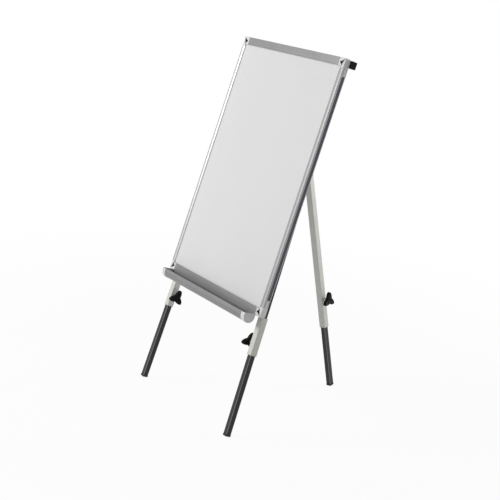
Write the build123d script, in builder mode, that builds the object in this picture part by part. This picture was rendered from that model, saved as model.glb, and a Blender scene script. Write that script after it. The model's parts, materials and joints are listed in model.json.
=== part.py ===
"""Whiteboard easel: a framed magnetic board on two clamped front legs and one folding rear leg.

+X runs along the board to the right as its reader sees it, +Y runs from the board to the rear leg,
+Z is up. The origin lies on the floor, in the middle of the footprint.
"""
import os
from math import asin, cos, degrees, hypot, radians, sin

from build123d import *

# Board and frame
BOARD_WIDTH = 700.0
BOARD_HEIGHT = 1000.0
BOARD_LEAN = 15.7  # degrees back from upright
LOW_EDGE_HEIGHT = 463.0  # floor to the low front edge of the board
FRAME_DEPTH = 24.0
FRAME_WALL = 1.6
RAIL_HEIGHT = 30.0  # top and bottom rails
SIDE_RAIL_WIDTH = 17.0
SIDE_BEAD_WIDTH = 8.0  # flat outer part of a side rail's front
LIP_EDGE = 0.6  # thickness of a side rail's lip at its thin edge
EDGE_ROUND = 2.5

# Writing panel
PANEL_RECESS = 3.0
SHEET_THICKNESS = 0.5
CORE_THICKNESS = 8.0
BACKING_THICKNESS = 0.5
GROOVE_DEPTH = 8.0  # how far a rail wraps over the panel's edge
GROOVE_CLEARANCE = 0.2  # behind the panel, which rests against the rails' front lips
PANEL_EDGE_GAP = 0.3
SIGHT_GAP = 0.3  # frame's lips to the edge of the free writing face

# Groove along the outside of each side rail
SIDE_GROOVE_START = 9.0
SIDE_GROOVE_END = 20.0
SIDE_GROOVE_DEPTH = 1.5

# Corner pieces and their black covers
CORNER_ACROSS = 37.0
CORNER_RISE = 38.0
CORNER_RADIUS = 8.0
ELBOW_RADIUS = 6.0
CORNER_EDGE_ROUND = 1.2
TONGUE_LENGTH = 25.0
TONGUE_CLEARANCE = 0.1
SIDE_TONGUE_LENGTH = 30.0
FIXING_HOLE_INSET = 17.0
FIXING_HOLE_RADIUS = 2.75
FIXING_HEAD_RADIUS = 5.0
FIXING_HEAD_DEPTH = 4.0
COVER_TIP_INSET = 2.5
COVER_LONG_INSET = 31.0
COVER_SHORT_INSET = 16.0
COVER_SIDE_SAG = 0.05  # part of the side's length
COVER_THICKNESS = 2.0
COVER_PROUD = 0.5
COVER_EDGE_ROUND = 0.35
COVER_TIP_ROUND = 0.5
COVER_CLEARANCE = 0.4  # at the tips; about a quarter of it along the sides

# Pen tray
TRAY_INSET = 30.0  # board's side edges to the tray's end caps
TRAY_RADIUS = 24.0
TRAY_FRONT_WALL = 10.0  # straight part of the front above the half round
TRAY_WALL = 1.6
TRAY_RIM_RADIUS = 1.7
TRAY_LAP = 4.0  # how far its back wall laps over the bottom rail
TRAY_CAP_LENGTH = 22.0
TRAY_CAP_SKIN = 1.0
TRAY_CAP_END_WALL = 2.5
TRAY_BRACKET_SPREAD = 200.0  # centre of the board to each bracket
TRAY_BRACKET_WIDTH = 30.0
TRAY_BRACKET_THICKNESS = 2.0
TRAY_BRACKET_REACH = 18.0
TRAY_BRACKET_DROP = 22.0
TRAY_SCREW_BITE = 3.5  # how far a tray screw reaches into the bottom rail

# Square tubes: light outer ones and dark inner ones
OUTER_TUBE = 28.0
OUTER_WALL = 1.5
OUTER_CORNER = 3.0
INNER_TUBE = 22.5
INNER_WALL = 1.5
INNER_CORNER = 3.5

# Crossbar behind the board's top rail
CROSSBAR_DROP = 17.0  # board's top edge down to the crossbar's axis
CROSSBAR_CAP_THICKNESS = 5.0
CROSSBAR_CAP_ROUND = 1.0
PLUG_LENGTH = 15.0
PLUG_WALL = 2.0
PLUG_CLEARANCE = 0.1
PLUG_INNER_CORNER = 0.4
CROSSBAR_BOLT_DROP = 13.0
CROSSBAR_BOLT_INSETS = (70.0, 240.0)  # board's side edges to the bolts

# Front legs
LEG_INSET = 29.0  # board's side edges to a leg's axis, at the board's low edge
LEG_SPLAY = 2.0  # degrees
SLEEVE_DROP = 150.0  # low edge of the board to the sleeve's mouth
SLEEVE_TOP_GAP = 2.0  # low edge of the board to the sleeve's upper end
SLEEVE_TAB_WIDTH = 22.0
SLEEVE_TAB_RISE = 32.0
SLEEVE_SCREW_RISES = (9.0, 22.0)
FRONT_TUBE_LENGTH = 1000.0
FRONT_CLAMP_HEIGHT = 45.0  # mouth of the sleeve to the clamp's axis

# Rear leg and its hinge
REAR_TILT = 13.5  # degrees from upright
REAR_TURN = 18.0  # degrees that the leg is turned about its own length
REAR_OUTER_REACH = 1123.0  # hinge pin to the mouth of the outer tube
REAR_TUBE_LENGTH = 800.0
REAR_CLAMP_HEIGHT = 128.0
PIN_DROP = 56.0  # board's top edge down to the hinge pin
PIN_DEPTH = 46.0
PIN_RADIUS = 4.0
PIN_CLEARANCE = 0.06
PIN_HEAD_RADIUS = 6.5
PIN_HEAD_THICKNESS = 2.5
PIN_CHAMFER = 0.6
PIN_TAIL = 3.6  # how far the pin stands out past its ear
CLIP_RADIUS = 6.5
CLIP_THICKNESS = 1.2
CLIP_GROOVE_INSET = 1.8  # pin's end to the clip's groove
CLIP_GROOVE_DEPTH = 1.0
BRACKET_PLATE = 3.0
BRACKET_HALF_GAP = 16.0
EAR_RADIUS = 14.0
BRACKET_FRONT = 32.0
BRACKET_REAR = 60.0
FLANGE_TOP_MARGIN = 3.0
BRACKET_SCREW_SPREAD = 11.0
KNUCKLE_SIDE_GAP = 0.3
KNUCKLE_RADIUS = 12.0
KNUCKLE_NECK_WIDTH = 22.0
STOP_GAP = 0.2
COLLAR_START = 24.0  # hinge pin to the knuckle's collar
COLLAR_END = 30.0
COLLAR_RADIUS = 13.0
SPIGOT_RADIUS = 9.0
SPIGOT_LENGTH = 42.0
SPIGOT_CLEARANCE = 0.09
SPIGOT_GROOVE_OFFSET = 24.0
SPIGOT_GROOVE_WIDTH = 5.0
SPIGOT_GROOVE_DEPTH = 2.0
SWIVEL_LUG_ANGLE = 16.0
SWIVEL_TRAVEL = 36.0
SWIVEL_LUG_INNER = 9.5
SWIVEL_LUG_OUTER = 12.0
SWIVEL_LUG_HEIGHT = 2.0
SWIVEL_FACE_GAP = 0.3
HEAD_PLUG_FLANGE = 4.0
HEAD_PLUG_LENGTH = 46.0

# Bushes that guide the inner tubes
BUSH_FLANGE = 2.5
BUSH_LENGTH = 24.0
BUSH_RIM_ROUND = 0.9
TUBE_RUNNING_GAP = 0.1
BUSH_FIT_GAP = 0.05

# Clamps: boss, pad, stud and three-lobed knob
BOSS_RADIUS = 7.0
BOSS_HEIGHT = 12.0
BOSS_FOOT = 1.0
STUD_RADIUS = 4.0
STUD_CLEARANCE = 0.08
STUD_TIP_RADIUS = 2.0
STUD_TIP_LENGTH = 1.0
STUD_CHAMFER = 0.5
PAD_RADIUS = 4.5
PAD_THICKNESS = 1.5
PAD_GAP = 0.2  # pad to inner tube
PAD_HOLE_CLEARANCE = 0.3
STUD_INTO_KNOB = 12.0
KNOB_STANDOFF = 1.5  # boss to knob when tight
KNOB_HUB_RADIUS = 10.0
KNOB_NECK_HEIGHT = 4.5
KNOB_THICKNESS = 14.0
KNOB_RADIUS = 34.0
KNOB_SCOOP_RADIUS = 34.0
KNOB_SCOOP_OFFSET = 46.0
KNOB_TIP_ROUND = 6.0
KNOB_EDGE_ROUND = 2.5
KNOB_DIMPLE_RADIUS = 7.0
KNOB_DIMPLE_DEPTH = 1.0
KNOB_LOBES = 3
KNOB_TURN = 12.0  # degrees that a lobe points away from the leg's own line

# Rubber feet
FOOT_WIDTH = 23.5
FOOT_CORNER = 4.0
FOOT_LIP = 8.0
FOOT_EDGE_ROUND = 1.5
FOOT_PLUG_LENGTH = 25.0
FOOT_PLUG_GAP = 0.1
END_PLUG_LIP = 3.0
END_PLUG_CORNER = 3.0
END_PLUG_LENGTH = 12.0

# Fasteners
CORNER_SCREW_RADIUS = 1.75
CORNER_SCREW_LENGTH = 11.0
CORNER_SCREW_HEAD_RADIUS = 3.2
CORNER_SCREW_INSET = 12.0  # end of a rail to the screw
SCREW_HOLE_CLEARANCE = 0.1
BOLT_RADIUS = 3.0
BOLT_HEAD_RADIUS = 5.5
BOLT_HEAD_HEIGHT = 3.0
BOLT_LENGTH = 38.0
RIVET_NUT_RADIUS = 4.5
RIVET_NUT_BULGE_RADIUS = 6.2
RIVET_NUT_BULGE_LENGTH = 3.0
RIVET_NUT_LENGTH = 11.0
DOME_PART = 0.6  # part of a pan head's height that is domed
PLATE_SCREW_RADIUS = 2.0
PLATE_SCREW_HEAD_RADIUS = 3.6
PLATE_SCREW_HEAD_HEIGHT = 2.0
PLATE_SCREW_LENGTH = 7.0

# How far a cut runs past the face that it opens
CUT_MARGIN = 1.0

# Values worked out from the dimensions above
ACROSS = Vector(1, 0, 0)
UP = Vector(0, 0, 1)
RISE = Vector(0, sin(radians(BOARD_LEAN)), cos(radians(BOARD_LEAN)))
BACK = Vector(0, cos(radians(BOARD_LEAN)), -sin(radians(BOARD_LEAN)))
HALF_WIDTH = BOARD_WIDTH / 2
TRAY_LENGTH = BOARD_WIDTH - 2 * TRAY_INSET  # over its end caps
LEG_SPREAD = HALF_WIDTH - LEG_INSET
CROSSBAR_LENGTH = BOARD_WIDTH
CROSSBAR_RISE = BOARD_HEIGHT - CROSSBAR_DROP
CROSSBAR_BOLT_RISE = BOARD_HEIGHT - CROSSBAR_BOLT_DROP
CROSSBAR_BOLT_PLACES = [side * (HALF_WIDTH - inset) for side in (-1, 1) for inset in CROSSBAR_BOLT_INSETS]
PIN_RISE = BOARD_HEIGHT - PIN_DROP
PANEL_BACK = PANEL_RECESS + SHEET_THICKNESS + CORE_THICKNESS + BACKING_THICKNESS
GROOVE_FRONT = PANEL_RECESS
GROOVE_BACK = PANEL_BACK + GROOVE_CLEARANCE
SIDE_GROOVE_FLOOR = SIDE_RAIL_WIDTH - GROOVE_DEPTH
RAIL_GROOVE_FLOOR = RAIL_HEIGHT - GROOVE_DEPTH
CHAMBER_BACK = FRAME_DEPTH - FRAME_WALL
SIDE_CHAMBER = (SIDE_GROOVE_DEPTH + FRAME_WALL, SIDE_GROOVE_FLOOR - FRAME_WALL)
RAIL_CHAMBER = (FRAME_WALL, RAIL_GROOVE_FLOOR - FRAME_WALL)
PANEL_HALF_WIDTH = HALF_WIDTH - SIDE_GROOVE_FLOOR - PANEL_EDGE_GAP
PANEL_LOW = RAIL_GROOVE_FLOOR + PANEL_EDGE_GAP
PANEL_HIGH = BOARD_HEIGHT - PANEL_LOW
LEG_DEPTH = FRAME_DEPTH + OUTER_TUBE / 2
OUTER_BORE = OUTER_TUBE - 2 * OUTER_WALL
INNER_BORE = INNER_TUBE - 2 * INNER_WALL
BAR_BACK = FRAME_DEPTH + OUTER_TUBE
BAR_UNDERSIDE = CROSSBAR_RISE - OUTER_TUBE / 2
OPENING_ANGLE = BOARD_LEAN + REAR_TILT  # board to rear leg
SIDES = ((-1, "left"), (1, "right"))
CORNERS = (
    (-1, False, "corner_bottom_left"),
    (1, False, "corner_bottom_right"),
    (-1, True, "corner_top_left"),
    (1, True, "corner_top_right"),
)


def leg_axes(side):
    """Direction up a front leg, and the direction across it, in the plane of the board."""
    splay = radians(LEG_SPLAY)
    up_leg = RISE * cos(splay) - ACROSS * (side * sin(splay))
    across_leg = ACROSS * cos(splay) + RISE * (side * sin(splay))
    return up_leg, across_leg


def rear_axes():
    """Direction up the rear leg, and the direction across it, turned as the leg is."""
    tilt = radians(REAR_TILT)
    turn = radians(REAR_TURN)
    up_leg = Vector(0, -sin(tilt), cos(tilt))
    across_leg = ACROSS * cos(turn) + up_leg.cross(ACROSS) * sin(turn)
    return up_leg, across_leg


def foot_reach(up_leg, across_leg, direction):
    """How far the rounded foot reaches past the centre of its end face, along a direction."""
    through_leg = up_leg.cross(across_leg)
    flat = FOOT_WIDTH / 2 - FOOT_CORNER
    a = direction.dot(across_leg)
    b = direction.dot(through_leg)
    corner = (FOOT_CORNER - FOOT_EDGE_ROUND) * hypot(a, b)
    along = direction.dot(up_leg) * FOOT_EDGE_ROUND
    return flat * (abs(a) + abs(b)) + corner + along + FOOT_EDGE_ROUND


# The board's place: the footprint is centred on the origin, and each leg ends on the floor.
FRONT_UP, FRONT_ACROSS = leg_axes(1)
REAR_UP, REAR_ACROSS = rear_axes()
FRONT_FOOT_HEIGHT = foot_reach(FRONT_UP, FRONT_ACROSS, UP * -1)
REAR_FOOT_HEIGHT = foot_reach(REAR_UP, REAR_ACROSS, UP * -1)
AXIS_START_HEIGHT = LOW_EDGE_HEIGHT + BACK.Z * LEG_DEPTH
FRONT_LEG_REACH = (AXIS_START_HEIGHT - FRONT_FOOT_HEIGHT) / FRONT_UP.Z
PIN_HEIGHT = LOW_EDGE_HEIGHT + RISE.Z * PIN_RISE + BACK.Z * PIN_DEPTH
REAR_LEG_REACH = (PIN_HEIGHT - REAR_FOOT_HEIGHT) / REAR_UP.Z
FRONT_FOOT_OFFSET = BACK.Y * LEG_DEPTH - FRONT_UP.Y * FRONT_LEG_REACH
REAR_FOOT_OFFSET = RISE.Y * PIN_RISE + BACK.Y * PIN_DEPTH - REAR_UP.Y * REAR_LEG_REACH
FRONT_FOOT_TOE = FRONT_FOOT_OFFSET - foot_reach(FRONT_UP, FRONT_ACROSS, Vector(0, -1, 0))
REAR_FOOT_TOE = REAR_FOOT_OFFSET + foot_reach(REAR_UP, REAR_ACROSS, Vector(0, 1, 0))
BOARD_ORIGIN = Vector(0, -(FRONT_FOOT_TOE + REAR_FOOT_TOE) / 2, LOW_EDGE_HEIGHT)
FRONT_EXPOSED = FRONT_LEG_REACH - SLEEVE_DROP
REAR_EXPOSED = REAR_LEG_REACH - REAR_OUTER_REACH


def board_point(across, rise, depth):
    """A point given across the board, up it, and behind its front face."""
    return BOARD_ORIGIN + ACROSS * across + RISE * rise + BACK * depth


def face_plane(depth):
    """Parallel to the board's face: local x across, y up the board, normal to the front."""
    return Plane(origin=board_point(0, 0, depth), x_dir=ACROSS, z_dir=BACK * -1)


def section_plane(across):
    """Square to the board's width: local x is depth, y is up the board."""
    return Plane(origin=board_point(across, 0, 0), x_dir=BACK, z_dir=ACROSS)


def rise_plane(rise):
    """Square to the board's height: local x is across, y is depth."""
    return Plane(origin=board_point(0, rise, 0), x_dir=ACROSS, z_dir=RISE)


def front_mouth(side):
    """At the mouth of a front sleeve: local z up the leg, x across it."""
    up_leg, across_leg = leg_axes(side)
    start = board_point(side * LEG_SPREAD, 0, LEG_DEPTH)
    return Plane(origin=start - up_leg * SLEEVE_DROP, x_dir=across_leg, z_dir=up_leg)


def rear_mouth():
    """At the mouth of the rear leg's outer tube: local z up the leg, x towards its knob."""
    pin = board_point(0, PIN_RISE, PIN_DEPTH)
    return Plane(origin=pin - REAR_UP * REAR_OUTER_REACH, x_dir=REAR_ACROSS, z_dir=REAR_UP)


def clamp_plane(mouth, height, towards):
    """At a clamp's axis on the leg's centre line: local z out to the knob, x up the leg."""
    centre = mouth.origin + mouth.z_dir * height
    return Plane(origin=centre, x_dir=mouth.z_dir, z_dir=mouth.x_dir * towards)


def block(low, high, mode=Mode.ADD):
    """A rectangle in the current sketch, given by two opposite corners."""
    with Locations(((low[0] + high[0]) / 2, (low[1] + high[1]) / 2)):
        Rectangle(abs(high[0] - low[0]), abs(high[1] - low[1]), mode=mode)


def save(part, name):
    part.label = name
    export_step(part, f"parts/{name}.step")


def slab(low, high, depth_start, depth_end):
    """A flat board-parallel plate between two corners, from one depth to another."""
    with BuildPart() as plate:
        with BuildSketch(face_plane(depth_end)):
            block(low, high)
        extrude(amount=depth_end - depth_start)
    return plate.part


def square_tube(plane, length, outer, wall, corner):
    with BuildPart() as tube:
        with BuildSketch(plane):
            RectangleRounded(outer, outer, corner)
            RectangleRounded(outer - 2 * wall, outer - 2 * wall, corner - wall, mode=Mode.SUBTRACT)
        extrude(amount=length)
    return tube.part


def end_plug(plane, lip_width, lip_corner, lip, bore_width, bore_corner, insert):
    """A cap over a tube's end at the plane, with a hollow insert that reaches into the tube."""
    with BuildPart() as plug:
        with BuildSketch(plane):
            RectangleRounded(lip_width, lip_width, lip_corner)
        extrude(amount=-lip)
        fillet(plug.faces().sort_by(Axis(plane.origin, plane.z_dir))[0].edges(), CROSSBAR_CAP_ROUND)
        with BuildSketch(plane):
            RectangleRounded(bore_width, bore_width, bore_corner)
            inner = bore_width - 2 * PLUG_WALL
            inner_corner = max(bore_corner - PLUG_WALL, PLUG_INNER_CORNER)
            RectangleRounded(inner, inner, inner_corner, mode=Mode.SUBTRACT)
        extrude(amount=insert)
    return plug.part


def round_bar(plane, radius, length, hole_radius=0.0):
    """A round bar or ring that starts on a plane and runs along its normal."""
    with BuildPart() as bar:
        with BuildSketch(plane):
            Circle(radius)
            if hole_radius:
                Circle(hole_radius, mode=Mode.SUBTRACT)
        extrude(amount=length)
    return bar.part


def countersunk_screw(plane, radius, head_radius, length, growth=0.0):
    """A screw whose flat head is flush with the plane, reaching against its normal."""
    shank = radius + growth
    head = head_radius
    with BuildPart() as screw:
        with BuildSketch(Plane(origin=plane.origin, x_dir=plane.x_dir, z_dir=plane.y_dir * -1)):
            with BuildLine():
                Polyline(
                    (0, 0),
                    (head, 0),
                    (shank, shank - head),
                    (shank, -length),
                    (0, -length),
                    close=True,
                )
            make_face()
        revolve(axis=Axis(plane.origin, plane.z_dir))
    return screw.part


def pan_screw(plane, radius, head_radius, head_height, length):
    """A screw whose domed head sits on the plane and whose shank runs against its normal."""
    dome = head_height * DOME_PART
    dome_radius = (head_radius**2 + dome**2) / (2 * dome)
    half_angle = asin(head_radius / dome_radius) / 2
    dome_centre = head_height - dome_radius
    with BuildPart() as screw:
        with BuildSketch(Plane(origin=plane.origin, x_dir=plane.x_dir, z_dir=plane.y_dir * -1)):
            with BuildLine():
                Polyline(
                    (0, head_height),
                    (0, -length),
                    (radius, -length),
                    (radius, 0),
                    (head_radius, 0),
                    (head_radius, head_height - dome),
                )
                ThreePointArc(
                    (head_radius, head_height - dome),
                    (dome_radius * sin(half_angle), dome_centre + dome_radius * cos(half_angle)),
                    (0, head_height),
                )
            make_face()
        revolve(axis=Axis(plane.origin, plane.z_dir))
    return screw.part


def plate_screw(plane, length):
    """The small pan-head screw that holds the tray's brackets, the hinge and the swivel."""
    return pan_screw(
        plane,
        PLATE_SCREW_RADIUS,
        PLATE_SCREW_HEAD_RADIUS,
        PLATE_SCREW_HEAD_HEIGHT,
        length,
    )


def facing_back(across, rise, depth):
    """A plane at a point of the board, with its normal towards the back."""
    return Plane(origin=board_point(across, rise, depth), x_dir=ACROSS, z_dir=BACK)


# Writing panel: an enamelled steel sheet, a stiff core and a thin backing
def panel_layers():
    low = (-PANEL_HALF_WIDTH, PANEL_LOW)
    high = (PANEL_HALF_WIDTH, PANEL_HIGH)
    core_front = PANEL_RECESS + SHEET_THICKNESS
    core_back = core_front + CORE_THICKNESS
    save(writing_sheet(low, high, core_front), "writing_surface")
    save(slab(low, high, core_front, core_back), "panel_core")
    save(slab(low, high, core_back, PANEL_BACK), "panel_backing")


def writing_sheet(low, high, back):
    """The enamelled sheet. Its front is split into the free face inside the frame's lips, where
    paper and magnets can lie, and the margin that the lips cover."""
    with BuildPart() as sheet:
        with BuildSketch(face_plane(back)):
            block(low, high)
        extrude(amount=SHEET_THICKNESS)
    with BuildSketch(face_plane(PANEL_RECESS)) as free_face:
        with Locations((0, BOARD_HEIGHT / 2)):
            RectangleRounded(
                BOARD_WIDTH - 2 * (SIDE_RAIL_WIDTH + SIGHT_GAP),
                BOARD_HEIGHT - 2 * (RAIL_HEIGHT + SIGHT_GAP),
                ELBOW_RADIUS,
            )
    *back_and_edges, front = sheet.faces().sort_by(Axis((0, 0, 0), BACK * -1))
    margin = front - free_face.sketch
    return Solid(Shell([*back_and_edges, *margin.faces(), *free_face.sketch.faces()]))


def corner_screw_planes():
    """One screw through the back of each rail end into the corner piece's tongue."""
    side_across = HALF_WIDTH - (SIDE_CHAMBER[0] + SIDE_CHAMBER[1]) / 2
    side_rise = CORNER_RISE + CORNER_SCREW_INSET
    low_rise = RAIL_CHAMBER[0] + (RAIL_CHAMBER[1] - RAIL_CHAMBER[0]) / 2
    rail_across = HALF_WIDTH - CORNER_ACROSS - CORNER_SCREW_INSET
    places = []
    for side, _ in SIDES:
        places.append((side * side_across, side_rise))
        places.append((side * side_across, BOARD_HEIGHT - side_rise))
        places.append((side * rail_across, low_rise))
        places.append((side * rail_across, BOARD_HEIGHT - low_rise))
    return [facing_back(across, rise, FRAME_DEPTH) for across, rise in places]


def cut_corner_screws(part):
    """Take the countersunk holes of the corner screws out of a frame piece."""
    box = part.bounding_box()
    for plane in corner_screw_planes():
        across = plane.origin.X
        height = plane.origin.Z
        if box.min.X < across < box.max.X and box.min.Z < height < box.max.Z:
            part = part - countersunk_screw(
                plane,
                CORNER_SCREW_RADIUS,
                CORNER_SCREW_HEAD_RADIUS,
                CORNER_SCREW_LENGTH,
                SCREW_HOLE_CLEARANCE,
            )
    return part


# Side rails: a rounded bead, a sloping lip over the panel, a hollow chamber and an outer groove
def side_rail(side):
    def place(inset, depth):
        return (side * (HALF_WIDTH - inset), depth)

    with BuildPart() as rail:
        with BuildSketch(rise_plane(CORNER_RISE)) as section:
            block(place(0, 0), place(SIDE_GROOVE_FLOOR, FRAME_DEPTH))
            outer_corner = section.vertices().sort_by_distance(Vector(*place(0, 0)))[0]
            fillet(outer_corner, EDGE_ROUND)
            with BuildLine():
                Polyline(
                    place(SIDE_BEAD_WIDTH, 0),
                    place(SIDE_RAIL_WIDTH, GROOVE_FRONT - LIP_EDGE),
                    place(SIDE_RAIL_WIDTH, GROOVE_FRONT),
                    place(SIDE_BEAD_WIDTH, GROOVE_FRONT),
                    close=True,
                )
            make_face()
            block(place(SIDE_BEAD_WIDTH, GROOVE_BACK), place(SIDE_RAIL_WIDTH, GROOVE_BACK + FRAME_WALL))
            block(
                place(SIDE_CHAMBER[0], FRAME_WALL),
                place(SIDE_CHAMBER[1], CHAMBER_BACK),
                Mode.SUBTRACT,
            )
            block(
                place(0, SIDE_GROOVE_START),
                place(SIDE_GROOVE_DEPTH, SIDE_GROOVE_END),
                Mode.SUBTRACT,
            )
        extrude(amount=BOARD_HEIGHT - 2 * CORNER_RISE)
    return cut_corner_screws(rail.part)


# Top and bottom rails: a broad flat front, a panel groove and a hollow chamber
def wide_rail(is_top):
    def place(depth, inset):
        return (depth, BOARD_HEIGHT - inset if is_top else inset)

    length = BOARD_WIDTH - 2 * CORNER_ACROSS
    with BuildPart() as rail:
        with BuildSketch(section_plane(-length / 2)) as section:
            block(place(0, 0), place(FRAME_DEPTH, RAIL_GROOVE_FLOOR))
            block(place(0, RAIL_GROOVE_FLOOR), place(GROOVE_FRONT, RAIL_HEIGHT))
            front_edges = section.vertices().sort_by(Axis.X)
            outer_corner = front_edges.sort_by_distance(Vector(*place(0, 0)))[0]
            inner_corner = front_edges.sort_by_distance(Vector(*place(0, RAIL_HEIGHT)))[0]
            fillet([outer_corner, inner_corner], EDGE_ROUND / 2)
            block(
                place(GROOVE_BACK, RAIL_GROOVE_FLOOR),
                place(GROOVE_BACK + FRAME_WALL, RAIL_HEIGHT),
            )
            block(
                place(FRAME_WALL, RAIL_CHAMBER[0]),
                place(CHAMBER_BACK, RAIL_CHAMBER[1]),
                Mode.SUBTRACT,
            )
        extrude(amount=length)
        if is_top:
            with BuildSketch(face_plane(FRAME_DEPTH)):
                with Locations(*[(place_x, CROSSBAR_BOLT_RISE) for place_x in CROSSBAR_BOLT_PLACES]):
                    Circle(RIVET_NUT_RADIUS + SCREW_HOLE_CLEARANCE)
            extrude(amount=FRAME_WALL + GROOVE_CLEARANCE, mode=Mode.SUBTRACT)
        else:
            tray_screw_depth = TRAY_BRACKET_REACH / 2 + TRAY_BRACKET_THICKNESS
            with BuildSketch(rise_plane(0)):
                with Locations(*[(side * TRAY_BRACKET_SPREAD, tray_screw_depth) for side, _ in SIDES]):
                    Circle(PLATE_SCREW_RADIUS + SCREW_HOLE_CLEARANCE)
            extrude(amount=PLATE_SCREW_LENGTH, mode=Mode.SUBTRACT)
    return cut_corner_screws(rail.part)


def corner_place(side, is_top, inset_across, inset_rise):
    """A point of a corner, given inwards from the board's outer edges, in a face plane."""
    rise = BOARD_HEIGHT - inset_rise if is_top else inset_rise
    return (side * (HALF_WIDTH - inset_across), rise)


def cover_outline(side, is_top, growth):
    """Three points joined by hollow arcs, pointing at the outer corner of the board."""

    def place(inset_across, inset_rise):
        return Vector(*corner_place(side, is_top, inset_across, inset_rise))

    tips = [
        place(COVER_TIP_INSET, COVER_TIP_INSET),
        place(COVER_LONG_INSET, COVER_SHORT_INSET),
        place(COVER_SHORT_INSET, COVER_LONG_INSET),
    ]
    centre = (tips[0] + tips[1] + tips[2]) * (1 / 3)
    tips = [tip + (tip - centre).normalized() * growth for tip in tips]
    with BuildSketch(Plane.XY) as outline:
        with BuildLine():
            for start, end in zip(tips, tips[1:] + tips[:1]):
                middle = (start + end) * 0.5
                inward = (centre - middle).normalized()
                sag = COVER_SIDE_SAG * (end - start).length
                ThreePointArc(start, middle + inward * sag, end)
        make_face()
        fillet(outline.vertices(), COVER_TIP_ROUND)
    return outline.sketch


# Corner pieces: moulded, with tongues into the rails, a strip along the side groove,
# a fixing hole and a recess for the cover over it
def corner_piece(side, is_top):
    def place(inset_across, inset_rise):
        return corner_place(side, is_top, inset_across, inset_rise)

    def tongue_rise_plane():
        return rise_plane(BOARD_HEIGHT - CORNER_RISE if is_top else CORNER_RISE)

    rise_sign = -1 if is_top else 1
    gap = TONGUE_CLEARANCE
    front_axis = Axis(BOARD_ORIGIN, BACK * -1)
    cover_recess = cover_outline(side, is_top, COVER_CLEARANCE)
    with BuildPart() as corner:
        with BuildSketch(face_plane(FRAME_DEPTH)) as outline:
            block(place(0, 0), place(CORNER_ACROSS, RAIL_HEIGHT))
            block(place(0, 0), place(SIDE_RAIL_WIDTH, CORNER_RISE))
            fillet(outline.vertices().sort_by_distance(Vector(*place(0, 0)))[0], CORNER_RADIUS)
            elbow = Vector(*place(SIDE_RAIL_WIDTH, RAIL_HEIGHT))
            fillet(outline.vertices().sort_by_distance(elbow)[0], ELBOW_RADIUS)
        extrude(amount=FRAME_DEPTH)
        fillet(corner.faces().sort_by(front_axis)[-1].edges(), CORNER_EDGE_ROUND)
        with BuildSketch(face_plane(GROOVE_BACK)):
            block(
                place(SIDE_GROOVE_FLOOR, RAIL_GROOVE_FLOOR),
                place(CORNER_ACROSS + CUT_MARGIN, CORNER_RISE + CUT_MARGIN),
            )
        extrude(amount=GROOVE_BACK - GROOVE_FRONT, mode=Mode.SUBTRACT)
        with BuildSketch(tongue_rise_plane()):
            block(
                (side * (HALF_WIDTH - SIDE_CHAMBER[0] - gap), FRAME_WALL + gap),
                (side * (HALF_WIDTH - SIDE_CHAMBER[1] + gap), CHAMBER_BACK - gap),
            )
        extrude(amount=rise_sign * TONGUE_LENGTH)
        with BuildSketch(tongue_rise_plane()):
            block(
                (side * (HALF_WIDTH - gap), SIDE_GROOVE_START + gap),
                (side * (HALF_WIDTH - SIDE_GROOVE_DEPTH + gap), SIDE_GROOVE_END - gap),
            )
        extrude(amount=rise_sign * SIDE_TONGUE_LENGTH)
        with BuildSketch(section_plane(side * (HALF_WIDTH - CORNER_ACROSS))):
            low = place(0, RAIL_CHAMBER[0] + gap)[1]
            high = place(0, RAIL_CHAMBER[1] - gap)[1]
            block((FRAME_WALL + gap, low), (CHAMBER_BACK - gap, high))
        extrude(amount=-side * TONGUE_LENGTH)
        with BuildSketch(face_plane(FRAME_DEPTH)):
            with Locations(place(FIXING_HOLE_INSET, FIXING_HOLE_INSET)):
                Circle(FIXING_HOLE_RADIUS)
        extrude(amount=FRAME_DEPTH, mode=Mode.SUBTRACT)
        with BuildSketch(face_plane(FIXING_HEAD_DEPTH)):
            with Locations(place(FIXING_HOLE_INSET, FIXING_HOLE_INSET)):
                Circle(FIXING_HEAD_RADIUS)
        extrude(amount=FIXING_HEAD_DEPTH, mode=Mode.SUBTRACT)
        with BuildSketch(face_plane(COVER_THICKNESS - COVER_PROUD)):
            add(cover_recess)
        extrude(amount=COVER_THICKNESS, mode=Mode.SUBTRACT)
        if not is_top:
            with BuildSketch(face_plane(FRAME_DEPTH)):
                with Locations(*[(side * sleeve_screw_across(rise), rise) for rise in SLEEVE_SCREW_RISES]):
                    Circle(CORNER_SCREW_RADIUS + SCREW_HOLE_CLEARANCE)
            extrude(amount=CORNER_SCREW_LENGTH, mode=Mode.SUBTRACT)
    return cut_corner_screws(corner.part)


def corner_cover(side, is_top):
    outline = cover_outline(side, is_top, 0)
    with BuildPart() as cover:
        with BuildSketch(face_plane(COVER_THICKNESS - COVER_PROUD)):
            add(outline)
        extrude(amount=COVER_THICKNESS)
        front = cover.faces().sort_by(Axis(BOARD_ORIGIN, BACK * -1))[-1]
        fillet(front.edges(), COVER_EDGE_ROUND)
    return cover.part


def sleeve_screw_across(rise):
    """Where the splayed leg's centre line is at a height up the board."""
    up_leg, _ = leg_axes(1)
    return LEG_SPREAD + up_leg.X * rise / up_leg.dot(RISE)


# Pen tray: a half-round trough whose back wall laps over the bottom rail
def tray_place(depth, rise):
    return (-depth, rise)


def tray_outline(growth):
    """Outer face of the trough, from the front rim down and round to the back wall's top."""
    radius = TRAY_RADIUS + growth
    centre_rise = -TRAY_FRONT_WALL
    front = -2 * TRAY_RADIUS - growth
    Line((front, 0), (front, centre_rise))
    ThreePointArc((front, centre_rise), (-TRAY_RADIUS, centre_rise - radius), (growth, centre_rise))


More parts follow.
